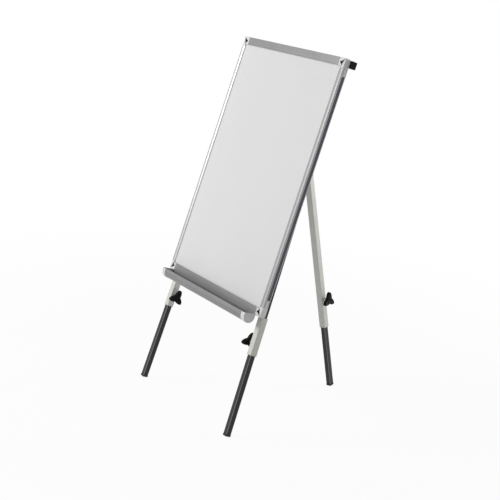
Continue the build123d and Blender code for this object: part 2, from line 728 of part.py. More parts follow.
def pen_tray():
    half = TRAY_LENGTH / 2 - TRAY_CAP_END_WALL
    inner = TRAY_RADIUS - TRAY_WALL
    centre_rise = -TRAY_FRONT_WALL
    bracket_screw_rise = -(TRAY_BRACKET_THICKNESS + TRAY_BRACKET_DROP / 2)
    with BuildPart() as tray:
        with BuildSketch(section_plane(-half)):
            with BuildLine():
                tray_outline(0)
                Line((0, centre_rise), (0, TRAY_LAP))
                Line((0, TRAY_LAP), (-TRAY_WALL, TRAY_LAP))
                Line((-TRAY_WALL, TRAY_LAP), (-TRAY_WALL, centre_rise))
                ThreePointArc(
                    (-TRAY_WALL, centre_rise),
                    (-TRAY_RADIUS, centre_rise - inner),
                    (-2 * TRAY_RADIUS + TRAY_WALL, centre_rise),
                )
                Line((-2 * TRAY_RADIUS + TRAY_WALL, centre_rise), (-2 * TRAY_RADIUS + TRAY_WALL, 0))
                Line((-2 * TRAY_RADIUS + TRAY_WALL, 0), (-2 * TRAY_RADIUS, 0))
            make_face()
            with Locations((-2 * TRAY_RADIUS + TRAY_RIM_RADIUS, 0)):
                Circle(TRAY_RIM_RADIUS)
        extrude(amount=2 * half)
        with BuildSketch(face_plane(0)):
            with Locations(*[(side * TRAY_BRACKET_SPREAD, bracket_screw_rise) for side, _ in SIDES]):
                Circle(PLATE_SCREW_RADIUS + SCREW_HOLE_CLEARANCE)
        extrude(amount=TRAY_WALL, mode=Mode.SUBTRACT)
    return tray.part


def tray_end_cap(side):
    """A moulded end: a closed wall, and a skin pressed round the trough's outside."""
    skin = TRAY_CAP_SKIN
    start = side * (TRAY_LENGTH / 2 - TRAY_CAP_LENGTH)
    wall_start = side * (TRAY_LENGTH / 2 - TRAY_CAP_END_WALL)
    centre_rise = -TRAY_FRONT_WALL
    front = -2 * TRAY_RADIUS
    with BuildPart() as cap:
        with BuildSketch(section_plane(start)):
            with BuildLine():
                tray_outline(skin)
                Line((skin, centre_rise), (0, centre_rise))
                ThreePointArc(
                    (0, centre_rise),
                    (-TRAY_RADIUS, centre_rise - TRAY_RADIUS),
                    (front, centre_rise),
                )
                Line((front, centre_rise), (front, 0))
                Line((front, 0), (front - skin, 0))
            make_face()
        extrude(amount=side * TRAY_CAP_LENGTH)
        with BuildSketch(section_plane(wall_start)):
            with BuildLine():
                tray_outline(skin)
                Line((skin, centre_rise), (skin, 0))
                Line((skin, 0), (0, 0))
                Line((0, 0), (0, TRAY_LAP))
                Line((0, TRAY_LAP), (front - skin, TRAY_RIM_RADIUS))
                Line((front - skin, TRAY_RIM_RADIUS), (front - skin, 0))
            make_face()
        extrude(amount=side * TRAY_CAP_END_WALL)
        end_face = cap.faces().sort_by(Axis((0, 0, 0), (side, 0, 0)))[-1]
        fillet(end_face.edges(), TRAY_CAP_SKIN)
    return cap.part


def tray_bracket(side):
    """A folded strip: one leaf under the bottom rail, one behind the tray's back wall."""
    centre = side * TRAY_BRACKET_SPREAD
    thickness = TRAY_BRACKET_THICKNESS
    with BuildPart() as bracket:
        with BuildSketch(section_plane(centre - TRAY_BRACKET_WIDTH / 2)) as fold:
            block((0, -thickness), (thickness + TRAY_BRACKET_REACH, 0))
            block((0, -thickness - TRAY_BRACKET_DROP), (thickness, -thickness))
            heel = fold.vertices().sort_by_distance(Vector(0, 0))[0]
            fillet(heel, thickness / 2)
        extrude(amount=TRAY_BRACKET_WIDTH)
        with BuildSketch(rise_plane(-thickness)):
            with Locations((centre, TRAY_BRACKET_REACH / 2 + thickness)):
                Circle(PLATE_SCREW_RADIUS + SCREW_HOLE_CLEARANCE)
        extrude(amount=thickness, mode=Mode.SUBTRACT)
        with BuildSketch(face_plane(thickness)):
            with Locations((centre, -thickness - TRAY_BRACKET_DROP / 2)):
                Circle(PLATE_SCREW_RADIUS + SCREW_HOLE_CLEARANCE)
        extrude(amount=thickness, mode=Mode.SUBTRACT)
    return bracket.part


def tray_screws():
    """Two screws up into the bottom rail and two through the tray's back wall."""
    thickness = TRAY_BRACKET_THICKNESS
    screws = []
    for side, _ in SIDES:
        across = side * TRAY_BRACKET_SPREAD
        under = Plane(
            origin=board_point(across, -thickness, TRAY_BRACKET_REACH / 2 + thickness),
            x_dir=ACROSS,
            z_dir=RISE * -1,
        )
        behind = facing_back(across, -thickness - TRAY_BRACKET_DROP / 2, thickness)
        screws.append((under, thickness + TRAY_SCREW_BITE))
        screws.append((behind, thickness + TRAY_WALL))
    return Compound([plate_screw(plane, length).solid() for plane, length in screws])


# Crossbar: a square tube behind the top rail, bolted to it, with a black cap in each end
def crossbar():
    with BuildPart() as bar:
        with BuildSketch(section_plane(-CROSSBAR_LENGTH / 2)):
            with Locations((FRAME_DEPTH + OUTER_TUBE / 2, CROSSBAR_RISE)):
                RectangleRounded(OUTER_TUBE, OUTER_TUBE, OUTER_CORNER)
                RectangleRounded(OUTER_BORE, OUTER_BORE, OUTER_CORNER - OUTER_WALL, mode=Mode.SUBTRACT)
        extrude(amount=CROSSBAR_LENGTH)
        with BuildSketch(face_plane(BAR_BACK)):
            with Locations(*[(place, CROSSBAR_BOLT_RISE) for place in CROSSBAR_BOLT_PLACES]):
                Circle(BOLT_RADIUS + SCREW_HOLE_CLEARANCE)
        extrude(amount=OUTER_TUBE, mode=Mode.SUBTRACT)
        with BuildSketch(face_plane(BAR_BACK)):
            with Locations(*[(side * BRACKET_SCREW_SPREAD, CROSSBAR_RISE) for side, _ in SIDES]):
                Circle(PLATE_SCREW_RADIUS + SCREW_HOLE_CLEARANCE)
        extrude(amount=OUTER_WALL, mode=Mode.SUBTRACT)
    return bar.part


def crossbar_cap(side):
    centre = board_point(side * CROSSBAR_LENGTH / 2, CROSSBAR_RISE, FRAME_DEPTH + OUTER_TUBE / 2)
    inward = Plane(origin=centre, x_dir=BACK, z_dir=ACROSS * -side)
    bore = OUTER_BORE - 2 * PLUG_CLEARANCE
    return end_plug(
        inward,
        OUTER_TUBE,
        OUTER_CORNER,
        CROSSBAR_CAP_THICKNESS,
        bore,
        OUTER_CORNER - OUTER_WALL,
        PLUG_LENGTH,
    )


def crossbar_bolts():
    return Compound(
        [
            pan_screw(
                facing_back(place, CROSSBAR_BOLT_RISE, BAR_BACK),
                BOLT_RADIUS,
                BOLT_HEAD_RADIUS,
                BOLT_HEAD_HEIGHT,
                BOLT_LENGTH,
            ).solid()
            for place in CROSSBAR_BOLT_PLACES
        ]
    )


def crossbar_nuts():
    """Rivet nuts set in the top rail's back wall, bulged behind it."""
    nuts = []
    bore = BOLT_RADIUS + SCREW_HOLE_CLEARANCE
    for place in CROSSBAR_BOLT_PLACES:
        with BuildPart() as nut:
            with BuildSketch(face_plane(FRAME_DEPTH)):
                with Locations((place, CROSSBAR_BOLT_RISE)):
                    Circle(RIVET_NUT_RADIUS)
                    Circle(bore, mode=Mode.SUBTRACT)
            extrude(amount=RIVET_NUT_LENGTH)
            with BuildSketch(face_plane(CHAMBER_BACK)):
                with Locations((place, CROSSBAR_BOLT_RISE)):
                    Circle(RIVET_NUT_BULGE_RADIUS - SCREW_HOLE_CLEARANCE)
                    Circle(bore, mode=Mode.SUBTRACT)
            extrude(amount=RIVET_NUT_BULGE_LENGTH)
        nuts.append(nut.part.solid())
    return Compound(nuts)


# Front sleeves: square tubes under the board, with a screwed tab left on the front wall
def sleeve(side):
    mouth = front_mouth(side)
    start = BUSH_FLANGE
    length = SLEEVE_DROP - SLEEVE_TOP_GAP - start
    tab_length = SLEEVE_TAB_RISE + SLEEVE_TOP_GAP
    clamp = clamp_plane(mouth, FRONT_CLAMP_HEIGHT, -side)
    with BuildPart() as tube:
        with BuildSketch(mouth.offset(start)):
            RectangleRounded(OUTER_TUBE, OUTER_TUBE, OUTER_CORNER)
            RectangleRounded(OUTER_BORE, OUTER_BORE, OUTER_CORNER - OUTER_WALL, mode=Mode.SUBTRACT)
        extrude(amount=length)
        with BuildSketch(mouth.offset(start + length)):
            block(
                (-SLEEVE_TAB_WIDTH / 2, -OUTER_TUBE / 2),
                (SLEEVE_TAB_WIDTH / 2, -OUTER_TUBE / 2 + OUTER_WALL),
            )
        extrude(amount=tab_length)
        with BuildSketch(clamp):
            Circle(PAD_RADIUS + PAD_HOLE_CLEARANCE)
        extrude(amount=OUTER_TUBE, mode=Mode.SUBTRACT)
    part = tube.part
    for plane in sleeve_screw_planes(side):
        part = part - countersunk_screw(
            plane, CORNER_SCREW_RADIUS, CORNER_SCREW_HEAD_RADIUS, CORNER_SCREW_LENGTH, SCREW_HOLE_CLEARANCE
        )
    return part


def sleeve_screw_planes(side):
    depth = FRAME_DEPTH + OUTER_WALL
    return [
        facing_back(side * sleeve_screw_across(rise), rise, depth) for rise in SLEEVE_SCREW_RISES
    ]


def sleeve_bushes(side):
    """A flanged bush in the sleeve's mouth and a plain one in its upper end."""
    mouth = front_mouth(side)
    upper_start = SLEEVE_DROP - SLEEVE_TOP_GAP - BUSH_LENGTH
    return Compound([flanged_bush(mouth).solid(), plain_bush(mouth.offset(upper_start)).solid()])


def plain_bush(plane):
    """A guide bush pressed into the outer tube's bore."""
    bore = INNER_TUBE + 2 * TUBE_RUNNING_GAP
    with BuildPart() as bush:
        with BuildSketch(plane):
            RectangleRounded(OUTER_BORE, OUTER_BORE, OUTER_CORNER - OUTER_WALL)
            RectangleRounded(bore, bore, INNER_CORNER, mode=Mode.SUBTRACT)
        extrude(amount=BUSH_LENGTH)
    return bush.part


def flanged_bush(mouth):
    """A guide bush whose flange closes the end of the outer tube."""
    outer = OUTER_BORE - 2 * BUSH_FIT_GAP
    bore = INNER_TUBE + 2 * TUBE_RUNNING_GAP
    with BuildPart() as bush:
        with BuildSketch(mouth):
            RectangleRounded(OUTER_TUBE, OUTER_TUBE, OUTER_CORNER)
        extrude(amount=BUSH_FLANGE)
        rim = bush.faces().sort_by(Axis(mouth.origin, mouth.z_dir))[0].edges()
        fillet(rim, BUSH_RIM_ROUND)
        with BuildSketch(mouth.offset(BUSH_FLANGE)):
            RectangleRounded(outer, outer, OUTER_CORNER - OUTER_WALL)
        extrude(amount=BUSH_LENGTH)
        with BuildSketch(mouth):
            RectangleRounded(bore, bore, INNER_CORNER)
        extrude(amount=BUSH_FLANGE + BUSH_LENGTH, mode=Mode.SUBTRACT)
    return bush.part


# Inner legs: dark square tubes with a rubber foot and a plug in the upper end. The rear one's plug
# is as wide as the outer tube's bore, so it guides that end and can't be drawn past the clamp.
def inner_leg(mouth, exposed, length, lip_width, prefix, suffix):
    base = mouth.offset(FOOT_LIP - exposed)
    save(square_tube(base, length, INNER_TUBE, INNER_WALL, INNER_CORNER), f"{prefix}_tube{suffix}")
    save(rubber_foot(mouth.offset(-exposed)), f"{prefix}_foot{suffix}")
    top = base.offset(length)
    downwards = Plane(origin=top.origin, x_dir=top.x_dir, z_dir=top.z_dir * -1)
    plug = end_plug(
        downwards,
        lip_width,
        END_PLUG_CORNER,
        END_PLUG_LIP,
        INNER_BORE - 2 * FOOT_PLUG_GAP,
        INNER_CORNER - INNER_WALL,
        END_PLUG_LENGTH,
    )
    save(plug, f"{prefix}_tube_plug{suffix}")


def rubber_foot(end):
    """A moulded foot: a lip under the tube's end and a plug inside it."""
    plug = INNER_BORE - 2 * FOOT_PLUG_GAP
    with BuildPart() as foot:
        with BuildSketch(end):
            RectangleRounded(FOOT_WIDTH, FOOT_WIDTH, FOOT_CORNER)
        extrude(amount=FOOT_LIP)
        fillet(foot.faces().sort_by(Axis(end.origin, end.z_dir))[0].edges(), FOOT_EDGE_ROUND)
        with BuildSketch(end.offset(FOOT_LIP)):
            RectangleRounded(plug, plug, INNER_CORNER - INNER_WALL)
        extrude(amount=FOOT_PLUG_LENGTH)
    return foot.part


# Clamps: a threaded boss on the outer tube, a pad that presses on the inner tube,
# and a stud moulded into a three-lobed knob
def clamp_pieces(clamp, lobe_angle, suffix):
    face = OUTER_TUBE / 2
    pad_start = INNER_TUBE / 2 + PAD_GAP
    pad_end = pad_start + PAD_THICKNESS
    knob_start = face + BOSS_HEIGHT + KNOB_STANDOFF
    save(clamp_boss(clamp.offset(face)), f"clamp_boss_{suffix}")
    save(clamp_pad(clamp.offset(pad_start)), f"clamp_pad_{suffix}")
    save(clamp_stud(clamp.offset(pad_end), knob_start - pad_end), f"clamp_stud_{suffix}")
    save(clamp_knob(clamp.offset(knob_start), lobe_angle), f"clamp_knob_{suffix}")


def clamp_boss(plane):
    with BuildPart() as boss:
        with BuildSketch(plane):
            Circle(BOSS_RADIUS + BOSS_FOOT)
        extrude(amount=BOSS_FOOT)
        with BuildSketch(plane):
            Circle(BOSS_RADIUS)
        extrude(amount=BOSS_HEIGHT)
        chamfer(boss.faces().sort_by(Axis(plane.origin, plane.z_dir))[-1].edges(), BOSS_FOOT)
        with BuildSketch(plane):
            Circle(STUD_RADIUS + STUD_CLEARANCE)
        extrude(amount=BOSS_HEIGHT, mode=Mode.SUBTRACT)
    return boss.part


def clamp_pad(plane):
    """A disc with a shallow socket that the stud's tip turns in."""
    with BuildPart() as pad:
        with BuildSketch(plane):
            Circle(PAD_RADIUS)
        extrude(amount=PAD_THICKNESS)
        with BuildSketch(plane.offset(PAD_THICKNESS - STUD_TIP_LENGTH)):
            Circle(STUD_TIP_RADIUS + STUD_CLEARANCE)
        extrude(amount=STUD_TIP_LENGTH, mode=Mode.SUBTRACT)
    return pad.part


def clamp_stud(plane, reach):
    """A stud from the pad's face out into the knob, with a reduced tip in the pad."""
    tip_start = STUD_CLEARANCE - STUD_TIP_LENGTH
    with BuildPart() as stud:
        with BuildSketch(plane.offset(tip_start)):
            Circle(STUD_TIP_RADIUS)
        extrude(amount=STUD_CLEARANCE - tip_start)
        with BuildSketch(plane.offset(STUD_CLEARANCE)):
            Circle(STUD_RADIUS)
        extrude(amount=reach - STUD_CLEARANCE + STUD_INTO_KNOB)
        chamfer(stud.faces().sort_by(Axis(plane.origin, plane.z_dir))[-1].edges(), STUD_CHAMFER)
    return stud.part


def clamp_knob(plane, lobe_angle):
    """Three lobes left between deep scoops, on a round neck, with a shallow dimple in front."""
    turned = Plane(
        origin=plane.origin,
        x_dir=plane.x_dir * cos(radians(lobe_angle)) + plane.y_dir * sin(radians(lobe_angle)),
        z_dir=plane.z_dir,
    )
    outwards = Axis(plane.origin, plane.z_dir)
    with BuildPart() as knob:
        with BuildSketch(turned.offset(KNOB_NECK_HEIGHT)) as lobes:
            Circle(KNOB_RADIUS)
            with PolarLocations(KNOB_SCOOP_OFFSET, KNOB_LOBES, start_angle=180 / KNOB_LOBES):
                Circle(KNOB_SCOOP_RADIUS, mode=Mode.SUBTRACT)
            fillet(lobes.vertices(), KNOB_TIP_ROUND)
        extrude(amount=KNOB_THICKNESS)
        fillet(knob.faces().sort_by(outwards)[-1].edges(), KNOB_EDGE_ROUND)
        fillet(knob.faces().sort_by(outwards)[0].edges(), KNOB_EDGE_ROUND)
        with BuildSketch(plane):
            Circle(KNOB_HUB_RADIUS)
        extrude(amount=KNOB_NECK_HEIGHT + KNOB_EDGE_ROUND)
        with BuildSketch(plane):
            Circle(STUD_RADIUS)
        extrude(amount=STUD_INTO_KNOB, mode=Mode.SUBTRACT)
        with BuildSketch(turned.offset(KNOB_NECK_HEIGHT + KNOB_THICKNESS - KNOB_DIMPLE_DEPTH)):
            Circle(KNOB_DIMPLE_RADIUS)
        extrude(amount=KNOB_DIMPLE_DEPTH, mode=Mode.SUBTRACT)
    return knob.part


# Rear hinge: a folded bracket under the crossbar, a pin, and a knuckle whose heel is the stop
def hinge_bracket():
    ear_low = PIN_RISE
    web_top = BAR_UNDERSIDE
    web_low = web_top - BRACKET_PLATE
    half_width = BRACKET_HALF_GAP + BRACKET_PLATE
    flange_top = CROSSBAR_RISE + OUTER_TUBE / 2 - FLANGE_TOP_MARGIN
    with BuildPart() as bracket:
        with BuildSketch(section_plane(-half_width)):
            block((BRACKET_FRONT, web_low), (BRACKET_REAR, web_top))
            block((BAR_BACK, web_low), (BAR_BACK + BRACKET_PLATE, flange_top))
        extrude(amount=2 * half_width)
        for start in (-half_width, BRACKET_HALF_GAP):
            with BuildSketch(section_plane(start)):
                block((BRACKET_FRONT, ear_low), (BRACKET_REAR, web_low))
                with Locations((PIN_DEPTH, ear_low)):
                    Circle(EAR_RADIUS)
            extrude(amount=BRACKET_PLATE)
        with BuildSketch(section_plane(-half_width)):
            with Locations((PIN_DEPTH, PIN_RISE)):
                Circle(PIN_RADIUS + PIN_CLEARANCE)
        extrude(amount=2 * half_width, mode=Mode.SUBTRACT)
        with BuildSketch(face_plane(BAR_BACK + BRACKET_PLATE)):
            with Locations(*[(side * BRACKET_SCREW_SPREAD, CROSSBAR_RISE) for side, _ in SIDES]):
                Circle(PLATE_SCREW_RADIUS + SCREW_HOLE_CLEARANCE)
        extrude(amount=BRACKET_PLATE, mode=Mode.SUBTRACT)
    return bracket.part


def bracket_screws():
    return Compound(
        [
            plate_screw(
                facing_back(side * BRACKET_SCREW_SPREAD, CROSSBAR_RISE, BAR_BACK + BRACKET_PLATE),
                PLATE_SCREW_LENGTH,
            ).solid()
            for side, _ in SIDES
        ]
    )


def hinge_pin():
    half_width = BRACKET_HALF_GAP + BRACKET_PLATE
    tail = half_width + PIN_TAIL
    start = Plane(origin=board_point(-tail, PIN_RISE, PIN_DEPTH), x_dir=BACK, z_dir=ACROSS)
    with BuildPart() as pin:
        with BuildSketch(start):
            Circle(PIN_RADIUS)
        extrude(amount=tail + half_width)
        with BuildSketch(start.offset(tail + half_width)):
            Circle(PIN_HEAD_RADIUS)
        extrude(amount=PIN_HEAD_THICKNESS)
        chamfer(pin.faces().sort_by(Axis.X)[-1].edges(), PIN_CHAMFER)
        chamfer(pin.faces().sort_by(Axis.X)[0].edges(), PIN_CHAMFER)
        with BuildSketch(start.offset(CLIP_GROOVE_INSET)):
            Circle(PIN_RADIUS + CUT_MARGIN)
            Circle(PIN_RADIUS - CLIP_GROOVE_DEPTH, mode=Mode.SUBTRACT)
        extrude(amount=CLIP_THICKNESS, mode=Mode.SUBTRACT)
    return pin.part


def hinge_clip():
    """A split ring in the groove at the pin's end."""
    start = CLIP_GROOVE_INSET - (BRACKET_HALF_GAP + BRACKET_PLATE + PIN_TAIL)
    plane = Plane(origin=board_point(start, PIN_RISE, PIN_DEPTH), x_dir=BACK, z_dir=ACROSS)
    with BuildPart() as clip:
        with BuildSketch(plane):
            Circle(CLIP_RADIUS)
            Circle(PIN_RADIUS - CLIP_GROOVE_DEPTH + PIN_CLEARANCE, mode=Mode.SUBTRACT)
            block((-PIN_RADIUS / 2, -CLIP_RADIUS), (PIN_RADIUS / 2, 0), Mode.SUBTRACT)
        extrude(amount=CLIP_THICKNESS - 2 * PIN_CLEARANCE)
    return clip.part


def rear_knuckle():
    """Head round the pin, heel that meets the bracket when open, collar and round spigot."""
    half_width = BRACKET_HALF_GAP - KNUCKLE_SIDE_GAP
    heel_top = BAR_UNDERSIDE - BRACKET_PLATE - STOP_GAP
    pin = board_point(0, PIN_RISE, PIN_DEPTH)
    collar = Plane(origin=pin - REAR_UP * COLLAR_START, x_dir=ACROSS, z_dir=REAR_UP * -1)
    spigot_start = COLLAR_END - COLLAR_START
    with BuildPart() as knuckle:
        with BuildSketch(section_plane(-half_width)):
            with Locations((PIN_DEPTH, PIN_RISE)):
                Circle(KNUCKLE_RADIUS)
            block((PIN_DEPTH, PIN_RISE), (PIN_DEPTH + KNUCKLE_RADIUS, heel_top))
            with Locations(Location((PIN_DEPTH, PIN_RISE, 0), (0, 0, OPENING_ANGLE))):
                Rectangle(KNUCKLE_NECK_WIDTH, COLLAR_START, align=(Align.CENTER, Align.MAX))
        extrude(amount=2 * half_width)
        with BuildSketch(collar):
            Circle(COLLAR_RADIUS)
        extrude(amount=spigot_start)
        with BuildSketch(collar.offset(spigot_start)):
            Circle(SPIGOT_RADIUS)
        extrude(amount=SPIGOT_LENGTH)
        with BuildSketch(collar.offset(spigot_start + SPIGOT_GROOVE_OFFSET)):
            Circle(SPIGOT_RADIUS)
            Circle(SPIGOT_RADIUS - SPIGOT_GROOVE_DEPTH, mode=Mode.SUBTRACT)
        extrude(amount=SPIGOT_GROOVE_WIDTH, mode=Mode.SUBTRACT)
        with BuildSketch(collar.offset(spigot_start)):
            with BuildLine():
                swivel_outline(-SWIVEL_LUG_ANGLE / 2, SWIVEL_LUG_ANGLE / 2, 0)
            make_face()
        extrude(amount=SWIVEL_LUG_HEIGHT)
        with BuildSketch(section_plane(-half_width)):
            with Locations((PIN_DEPTH, PIN_RISE)):
                Circle(PIN_RADIUS + PIN_CLEARANCE)
        extrude(amount=2 * half_width, mode=Mode.SUBTRACT)
    return knuckle.part


def swivel_outline(start_angle, end_angle, growth):
    """Lines round part of a ring, between two angles."""
    inner = SWIVEL_LUG_INNER - growth
    outer = SWIVEL_LUG_OUTER + growth

    def place(radius, angle):
        return (radius * cos(radians(angle)), radius * sin(radians(angle)))

    middle = (start_angle + end_angle) / 2
    ThreePointArc(place(outer, start_angle), place(outer, middle), place(outer, end_angle))
    Line(place(outer, end_angle), place(inner, end_angle))
    ThreePointArc(place(inner, end_angle), place(inner, middle), place(inner, start_angle))
    Line(place(inner, start_angle), place(outer, start_angle))


# Rear leg: head plug that turns on the spigot, outer tube, bush and swivel screw
def rear_head_plug():
    """A flanged plug in the tube's top, bored for the spigot, with a slot for the stop lug."""
    pin = board_point(0, PIN_RISE, PIN_DEPTH)
    flange_start = COLLAR_END + SWIVEL_FACE_GAP
    down = REAR_UP * -1
    flange = Plane(origin=pin + down * flange_start, x_dir=REAR_ACROSS, z_dir=down)
    slot = Plane(origin=flange.origin, x_dir=ACROSS, z_dir=down)
    insert = OUTER_BORE - 2 * BUSH_FIT_GAP
    margin = degrees(STOP_GAP / SWIVEL_LUG_OUTER)
    lug_half = SWIVEL_LUG_ANGLE / 2 + margin
    slot_range = (-lug_half - SWIVEL_TRAVEL, lug_half)
    with BuildPart() as plug:
        with BuildSketch(flange):
            RectangleRounded(OUTER_TUBE, OUTER_TUBE, OUTER_CORNER)
        extrude(amount=HEAD_PLUG_FLANGE)
        with BuildSketch(flange.offset(HEAD_PLUG_FLANGE)):
            RectangleRounded(insert, insert, OUTER_CORNER - OUTER_WALL)
        extrude(amount=HEAD_PLUG_LENGTH)
        with BuildSketch(flange):
            Circle(SPIGOT_RADIUS + SPIGOT_CLEARANCE)
        extrude(amount=HEAD_PLUG_FLANGE + HEAD_PLUG_LENGTH, mode=Mode.SUBTRACT)
        with BuildSketch(slot):
            with BuildLine():
                swivel_outline(slot_range[0], slot_range[1], SWIVEL_FACE_GAP)
            make_face()
        extrude(amount=SWIVEL_LUG_HEIGHT, mode=Mode.SUBTRACT)
    tool = round_bar(swivel_screw_plane(), PLATE_SCREW_RADIUS + SCREW_HOLE_CLEARANCE, -OUTER_TUBE / 2)
    return plug.part - tool


def swivel_screw_plane():
    """On the outer tube's back face, level with the spigot's groove, normal outwards."""
    pin = board_point(0, PIN_RISE, PIN_DEPTH)
    level = COLLAR_END + SPIGOT_GROOVE_OFFSET + SPIGOT_GROOVE_WIDTH / 2
    through = REAR_UP.cross(REAR_ACROSS)
    centre = pin - REAR_UP * level + through * (OUTER_TUBE / 2)
    return Plane(origin=centre, x_dir=REAR_UP, z_dir=through)


def swivel_screw():
    """A screw through the tube's wall whose tip runs in the spigot's groove."""
    reach = OUTER_TUBE / 2 - (SPIGOT_RADIUS - SPIGOT_GROOVE_DEPTH) - STOP_GAP
    return plate_screw(swivel_screw_plane(), reach)


def rear_outer_tube():
    mouth = rear_mouth()
    length = REAR_OUTER_REACH - COLLAR_END - SWIVEL_FACE_GAP - HEAD_PLUG_FLANGE - BUSH_FLANGE
    clamp = clamp_plane(mouth, REAR_CLAMP_HEIGHT, 1)
    with BuildPart() as tube:
        with BuildSketch(mouth.offset(BUSH_FLANGE)):
            RectangleRounded(OUTER_TUBE, OUTER_TUBE, OUTER_CORNER)
            RectangleRounded(OUTER_BORE, OUTER_BORE, OUTER_CORNER - OUTER_WALL, mode=Mode.SUBTRACT)
        extrude(amount=length)
        with BuildSketch(clamp):
            Circle(PAD_RADIUS + PAD_HOLE_CLEARANCE)
        extrude(amount=OUTER_TUBE, mode=Mode.SUBTRACT)
        with BuildSketch(swivel_screw_plane()):
            Circle(PLATE_SCREW_RADIUS + SCREW_HOLE_CLEARANCE)
        extrude(amount=-OUTER_WALL * 2, mode=Mode.SUBTRACT)
    return tube.part


def frame_screws():
    """The countersunk screws of the corners and the sleeves, as separate solids."""
    planes = corner_screw_planes()
    for side, _ in SIDES:
        planes += sleeve_screw_planes(side)
    return Compound(
        [
            countersunk_screw(
                plane, CORNER_SCREW_RADIUS, CORNER_SCREW_HEAD_RADIUS, CORNER_SCREW_LENGTH
            ).solid()
            for plane in planes
        ]
    )


def main():
    os.makedirs("parts", exist_ok=True)
    panel_layers()
    for side, name in SIDES:
        save(side_rail(side), f"side_rail_{name}")
        save(tray_end_cap(side), f"tray_end_cap_{name}")
        save(crossbar_cap(side), f"crossbar_cap_{name}")
        save(sleeve(side), f"leg_sleeve_{name}")
        save(sleeve_bushes(side), f"sleeve_bushes_{name}")
        mouth = front_mouth(side)
        inner_leg(mouth, FRONT_EXPOSED, FRONT_TUBE_LENGTH, INNER_TUBE, "leg", f"_{name}")
        clamp_pieces(clamp_plane(mouth, FRONT_CLAMP_HEIGHT, -side), side * KNOB_TURN, name)
    save(wide_rail(True), "top_rail")
    save(wide_rail(False), "bottom_rail")
    for side, is_top, name in CORNERS:
        save(corner_piece(side, is_top), name)
        save(corner_cover(side, is_top), name.replace("corner", "corner_cover"))
    save(frame_screws(), "frame_screws")
    save(pen_tray(), "pen_tray")
    save(Compound([tray_bracket(side).solid() for side, _ in SIDES]), "tray_brackets")
    save(tray_screws(), "tray_screws")
    save(crossbar(), "crossbar")
    save(crossbar_bolts(), "crossbar_bolts")
    save(crossbar_nuts(), "crossbar_nuts")
    save(hinge_bracket(), "hinge_bracket")
    save(bracket_screws(), "bracket_screws")
    save(hinge_pin(), "hinge_pin")
    save(hinge_clip(), "hinge_clip")
    save(rear_knuckle(), "rear_knuckle")
    save(rear_head_plug(), "rear_head_plug")
    save(swivel_screw(), "swivel_screw")
    save(rear_outer_tube(), "rear_outer_tube")
    save(flanged_bush(rear_mouth()), "rear_bush")
    guide_width = OUTER_BORE - 2 * TUBE_RUNNING_GAP
    inner_leg(rear_mouth(), REAR_EXPOSED, REAR_TUBE_LENGTH, guide_width, "rear", "")
    clamp_pieces(clamp_plane(rear_mouth(), REAR_CLAMP_HEIGHT, 1), -KNOB_TURN, "rear")
    print("board origin y", round(BOARD_ORIGIN.Y, 3))
    print("front exposed", round(FRONT_EXPOSED, 2), "rear exposed", round(REAR_EXPOSED, 2))


main()
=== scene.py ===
# %% [markdown]
# # A whiteboard easel
# The easel is a framed steel writing board on two telescopic front legs and one hinged rear leg.
# Every metal and plastic piece comes from the imported CAD model, already in its true place. What is
# left for Blender is what a drawing can't hold: the finishes, a few soft shapes such as
# weld beads and knobs, the light and the camera. Each step below has a short note first.

# %% Load the imported model
import bmesh
import bpy
import json
from math import cos, pi, radians, sin
from mathutils import Matrix, Vector


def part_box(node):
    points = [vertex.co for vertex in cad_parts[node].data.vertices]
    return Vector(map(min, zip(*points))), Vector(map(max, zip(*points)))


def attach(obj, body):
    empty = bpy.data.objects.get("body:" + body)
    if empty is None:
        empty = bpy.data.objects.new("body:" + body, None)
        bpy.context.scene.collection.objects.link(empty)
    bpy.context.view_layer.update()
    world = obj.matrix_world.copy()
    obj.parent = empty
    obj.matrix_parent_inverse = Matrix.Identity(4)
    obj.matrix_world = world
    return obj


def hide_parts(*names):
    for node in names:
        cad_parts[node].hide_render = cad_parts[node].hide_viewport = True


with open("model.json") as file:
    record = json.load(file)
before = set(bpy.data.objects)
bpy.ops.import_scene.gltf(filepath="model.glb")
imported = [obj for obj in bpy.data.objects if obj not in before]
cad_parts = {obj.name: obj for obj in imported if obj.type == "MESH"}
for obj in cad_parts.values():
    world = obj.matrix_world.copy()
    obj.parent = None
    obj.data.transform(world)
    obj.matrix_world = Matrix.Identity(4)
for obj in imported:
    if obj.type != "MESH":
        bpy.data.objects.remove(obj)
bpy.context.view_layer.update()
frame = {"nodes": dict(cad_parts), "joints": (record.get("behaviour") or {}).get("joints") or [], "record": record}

# %% [markdown]
# ## The camera
# The photograph was taken with a long lens from the right of the board, a little above it, and the
# camera was tipped a few degrees about its own axis. A camera could be placed by eye, but a fitted
# one is better: its angles, distance and lens were solved from the board's corners and the feet.
# The picture is a crop, so its optical centre is off the middle, which the two shift values copy.

# %% Place the camera
CAMERA_AZIMUTH = radians(57.55)
CAMERA_PITCH = radians(13.33)
CAMERA_ROLL = radians(5.07)
CAMERA_TARGET = Vector((0.14654, -0.26881, 0.7309))
CAMERA_DISTANCE = 4.8166
LENS_MM = 91.99
SENSOR_MM = 36
LENS_SHIFT = (0.0254, -0.0321)
FARTHEST_SEEN = 200


def add_object(name, data):
    """An object that shows a mesh, a lamp or a camera, linked into the scene."""
    made = bpy.data.objects.new(name, data)
    bpy.context.scene.collection.objects.link(made)
    return made


def standing(origin, x_axis, y_axis, z_axis):
    """The matrix that stands a thing at an origin, with its own axes along these three."""
    return Matrix.Translation(origin) @ Matrix((x_axis, y_axis, z_axis)).transposed().to_4x4()


